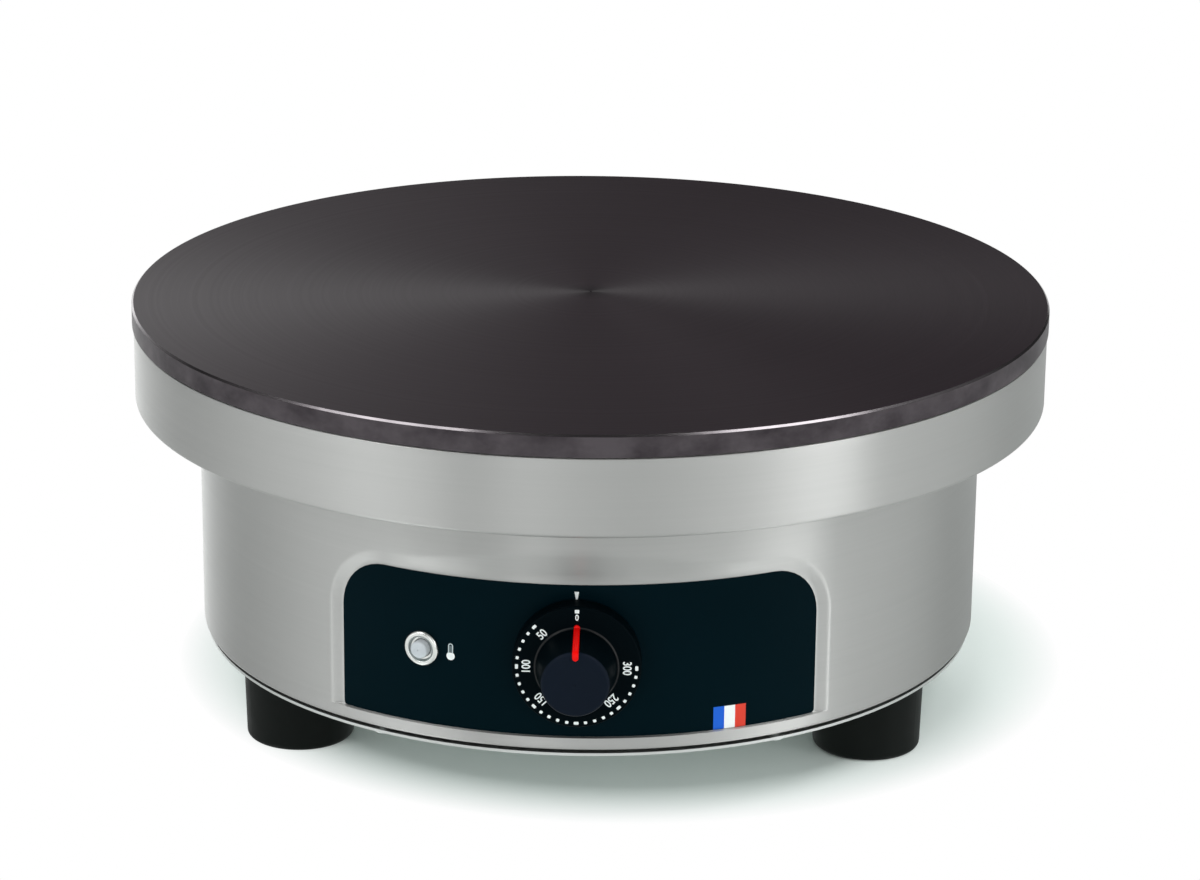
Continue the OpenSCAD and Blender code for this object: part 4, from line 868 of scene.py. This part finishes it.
def floor():
    """Pale floor with the object's shadow, whose edge and reach are painted, and a painted glow in
    reflections that is brighter on the left; pure white some way off.
    """
    corners = [(x * FLOOR_HALF, y * FLOOR_HALF, 0) for x, y in ((-1, -1), (1, -1), (1, 1), (-1, 1))]
    mesh = bpy.data.meshes.new("floor")
    mesh.from_pydata(corners, [], [(0, 1, 2, 3)])
    obj = bpy.data.objects.new("floor", mesh)
    bpy.context.scene.collection.objects.link(obj)
    s = Shader("pale floor with painted shadow edge and glow", base_color=(1, 1, 1, 1), metallic=1.0, roughness=0.2)
    path = s.node("ShaderNodeLightPath")
    diffuse = s.node("ShaderNodeBsdfDiffuse", {"Color": FLOOR_COLOUR})
    sheen = s.math("MULTIPLY", path.outputs["Is Glossy Ray"], FLOOR_SHEEN)
    polished = s.node("ShaderNodeMixShader", {0: sheen, 1: diffuse.outputs[0], 2: s.bsdf.outputs[0]})
    place = s.place()
    # Painted shadow edge: the camera sees the lit floor near an off-centre point, then painted white
    # further out
    to_centre = {"Vector": place, "Location": [-c for c in PAINTED_SHADOW_CENTRE]}
    from_centre = s.axis_radius(s.node("ShaderNodeMapping", to_centre).outputs[0])
    painted_shadow_fade = s.ranged(from_centre, SHADOW_NEAR, SHADOW_FAR)
    across = s.node("ShaderNodeSeparateXYZ", {0: place}).outputs[0]
    # Painted light in reflections: the floor glows more on the left than on the right
    near_painted_glow = s.ranged(across, -GLOW_ACROSS, GLOW_ACROSS, GLOW_LEFT, GLOW_RIGHT)
    mirrored_painted_glow = s.ranged(s.axis_radius(place), GLOW_NEAR, GLOW_FAR, near_painted_glow, 1.0)
    glow = s.node("ShaderNodeEmission", {"Color": s.mixed(painted_shadow_fade, PAINTED_GLOW_TINT, (1, 1, 1, 1))})
    mirrored = s.math("MAXIMUM", path.outputs["Is Glossy Ray"], path.outputs["Is Transmission Ray"])
    seen = s.math("MULTIPLY", path.outputs["Is Camera Ray"], painted_shadow_fade)
    lift = s.math("MAXIMUM", seen, s.math("MULTIPLY", mirrored, mirrored_painted_glow))
    shown = s.node("ShaderNodeMixShader", {0: lift, 1: polished.outputs[0], 2: glow.outputs[0]})
    s.join(shown.outputs[0], s.tree.nodes["Material Output"].inputs["Surface"])
    obj.data.materials.append(s.material)


# Studio walls: brightness against the compass, in degrees to the right of the front
STUDIO = [(-180, 0.06), (-160, 3.2), (-140, 0.64), (-120, 0.0), (-100, 0.69), (-80, 1.36),
          (-60, 1.62), (-45, 0.80), (-30, 0.52), (-15, 1.92), (0, 1.30), (15, 1.06),
          (30, 1.46), (45, 1.56), (58, 3.1), (69.4, 3.6), (71, 1.30), (90, 1.17),
          (110, 0.86), (130, 0.12), (155, 0.02), (180, 0.06)]
# Gain of the walls at their foot and top; the sine of the angle up at which the walls end and at
# which the even ceiling begins; and the ceiling's brightness
WALL_FOOT_GAIN, WALL_TOP_GAIN = 1.35, 0.65
WALL_TOP, CEILING = 0.60, 0.85
OVERHEAD = 0.10


class WorldShader(Shader):
    """The same short ways for the world's nodes."""

    def __init__(self, name):
        self.material = bpy.data.worlds.new(name)
        self.material.use_nodes = True
        self.tree = self.material.node_tree
        self.tree.nodes.clear()


def world():
    """Studio walls of different brightness round the object, and an even ceiling."""
    s = WorldShader("studio")
    bpy.context.scene.world = s.material
    direction = s.node("ShaderNodeTexCoord").outputs["Generated"]
    parts = s.node("ShaderNodeSeparateXYZ", {0: direction}).outputs
    compass = s.math("ARCTAN2", parts[0], s.math("MULTIPLY", parts[1], -1.0))
    turn = s.math("ADD", s.math("DIVIDE", compass, 2 * math.pi), 0.5)
    ramp = s.node("ShaderNodeValToRGB", {0: turn})
    top = max(value for _, value in STUDIO)
    elements = ramp.color_ramp.elements
    while len(elements) < len(STUDIO):
        elements.new(0.5)
    for element, (angle, value) in zip(elements, STUDIO):
        element.position = (angle + 180) / 360
        element.color = (value / top, value / top, value / top, 1)
    upright = s.ranged(parts[2], 0.0, WALL_TOP, WALL_FOOT_GAIN, WALL_TOP_GAIN)
    walls = s.math("MULTIPLY", s.math("MULTIPLY", ramp.outputs[0], top), upright)
    lit = s.node("ShaderNodeMix", data_type="FLOAT")
    s.join(s.ranged(parts[2], WALL_TOP, CEILING), lit.inputs[0])
    s.join(walls, lit.inputs[2])
    s.join(OVERHEAD, lit.inputs[3])
    shown = s.node("ShaderNodeMix", data_type="FLOAT")
    s.join(s.node("ShaderNodeLightPath").outputs["Is Camera Ray"], shown.inputs[0])
    s.join(lit.outputs[0], shown.inputs[2])
    s.join(1.0, shown.inputs[3])
    background = s.node("ShaderNodeBackground", {"Strength": shown.outputs[0]})
    out = s.node("ShaderNodeOutputWorld")
    s.join(background.outputs[0], out.inputs["Surface"])


# Name, degrees to the right of the front, degrees up, distance and size in metres, watts
LAMPS = [
    ("key_left", -70, 57, 2.4, (1.0, 0.9), 13),
    ("low_left", -50, 40, 2.4, (1.0, 0.9), 9),
    ("front", 0, 40, 2.4, (1.6, 0.8), 0.8),
    ("right", 70, 55, 2.4, (1.0, 0.9), 18),
    ("back_left", -155, 60, 2.2, (0.5, 0.5), 1),
    ("back_right", 155, 60, 2.2, (0.5, 0.5), 7.5),
]
LAMPS_LOOK_AT = Vector((0, 0, 0.1))


def lamp(name, compass, height, distance, size, power):
    """An area lamp that looks at the object."""
    light = bpy.data.lights.new(name, "AREA")
    light.shape = "RECTANGLE"
    light.size, light.size_y = size
    light.energy = power
    obj = bpy.data.objects.new(name, light)
    bpy.context.scene.collection.objects.link(obj)
    a, e = math.radians(compass), math.radians(height)
    away = Vector((math.cos(e) * math.sin(a), -math.cos(e) * math.cos(a), math.sin(e)))
    obj.location = LAMPS_LOOK_AT + distance * away
    obj.rotation_euler = away.to_track_quat("Z", "Y").to_euler()


# Camera, fitted to the photograph: focal length and width in its pixels, place in millimetres, and
# angles in radians
FOCAL_PX = 3975.79
PICTURE_W = 1200
CAMERA_AT = (40.8, -1672.2, 670.94)
YAW, PITCH, ROLL = -0.0216, 0.3223, 0.0098
SENSOR_W = 36.0


def camera():
    """The camera at the photograph's viewing angle."""
    data = bpy.data.cameras.new("camera")
    data.sensor_width = SENSOR_W
    data.sensor_fit = "HORIZONTAL"
    data.lens = FOCAL_PX * SENSOR_W / PICTURE_W
    data.clip_start, data.clip_end = 0.05, 60.0
    obj = bpy.data.objects.new("camera", data)
    bpy.context.scene.collection.objects.link(obj)
    ahead = Vector((math.sin(YAW) * math.cos(PITCH), math.cos(YAW) * math.cos(PITCH), -math.sin(PITCH)))
    right = Vector((math.cos(YAW), -math.sin(YAW), 0))
    up = right.cross(ahead)
    rolled_right = math.cos(ROLL) * right + math.sin(ROLL) * up
    rolled_up = -math.sin(ROLL) * right + math.cos(ROLL) * up
    turn = Matrix((rolled_right, rolled_up, -ahead)).transposed().to_4x4()
    obj.matrix_world = Matrix.Translation([MM * c for c in CAMERA_AT]) @ turn
    bpy.context.scene.camera = obj


camera()
dress_nodes()
griddle()
skirt()
drum()
base_disc()
overlay()
indicator()
knob()
pointer()
dial_print()
panel_patches("index_mark", [INDEX_MARK], WHITE_INK)
thermometer()
striped_tab()
floor()
world()
for row in LAMPS:
    lamp(*row)
bpy.context.scene.view_settings.view_transform = "Standard"
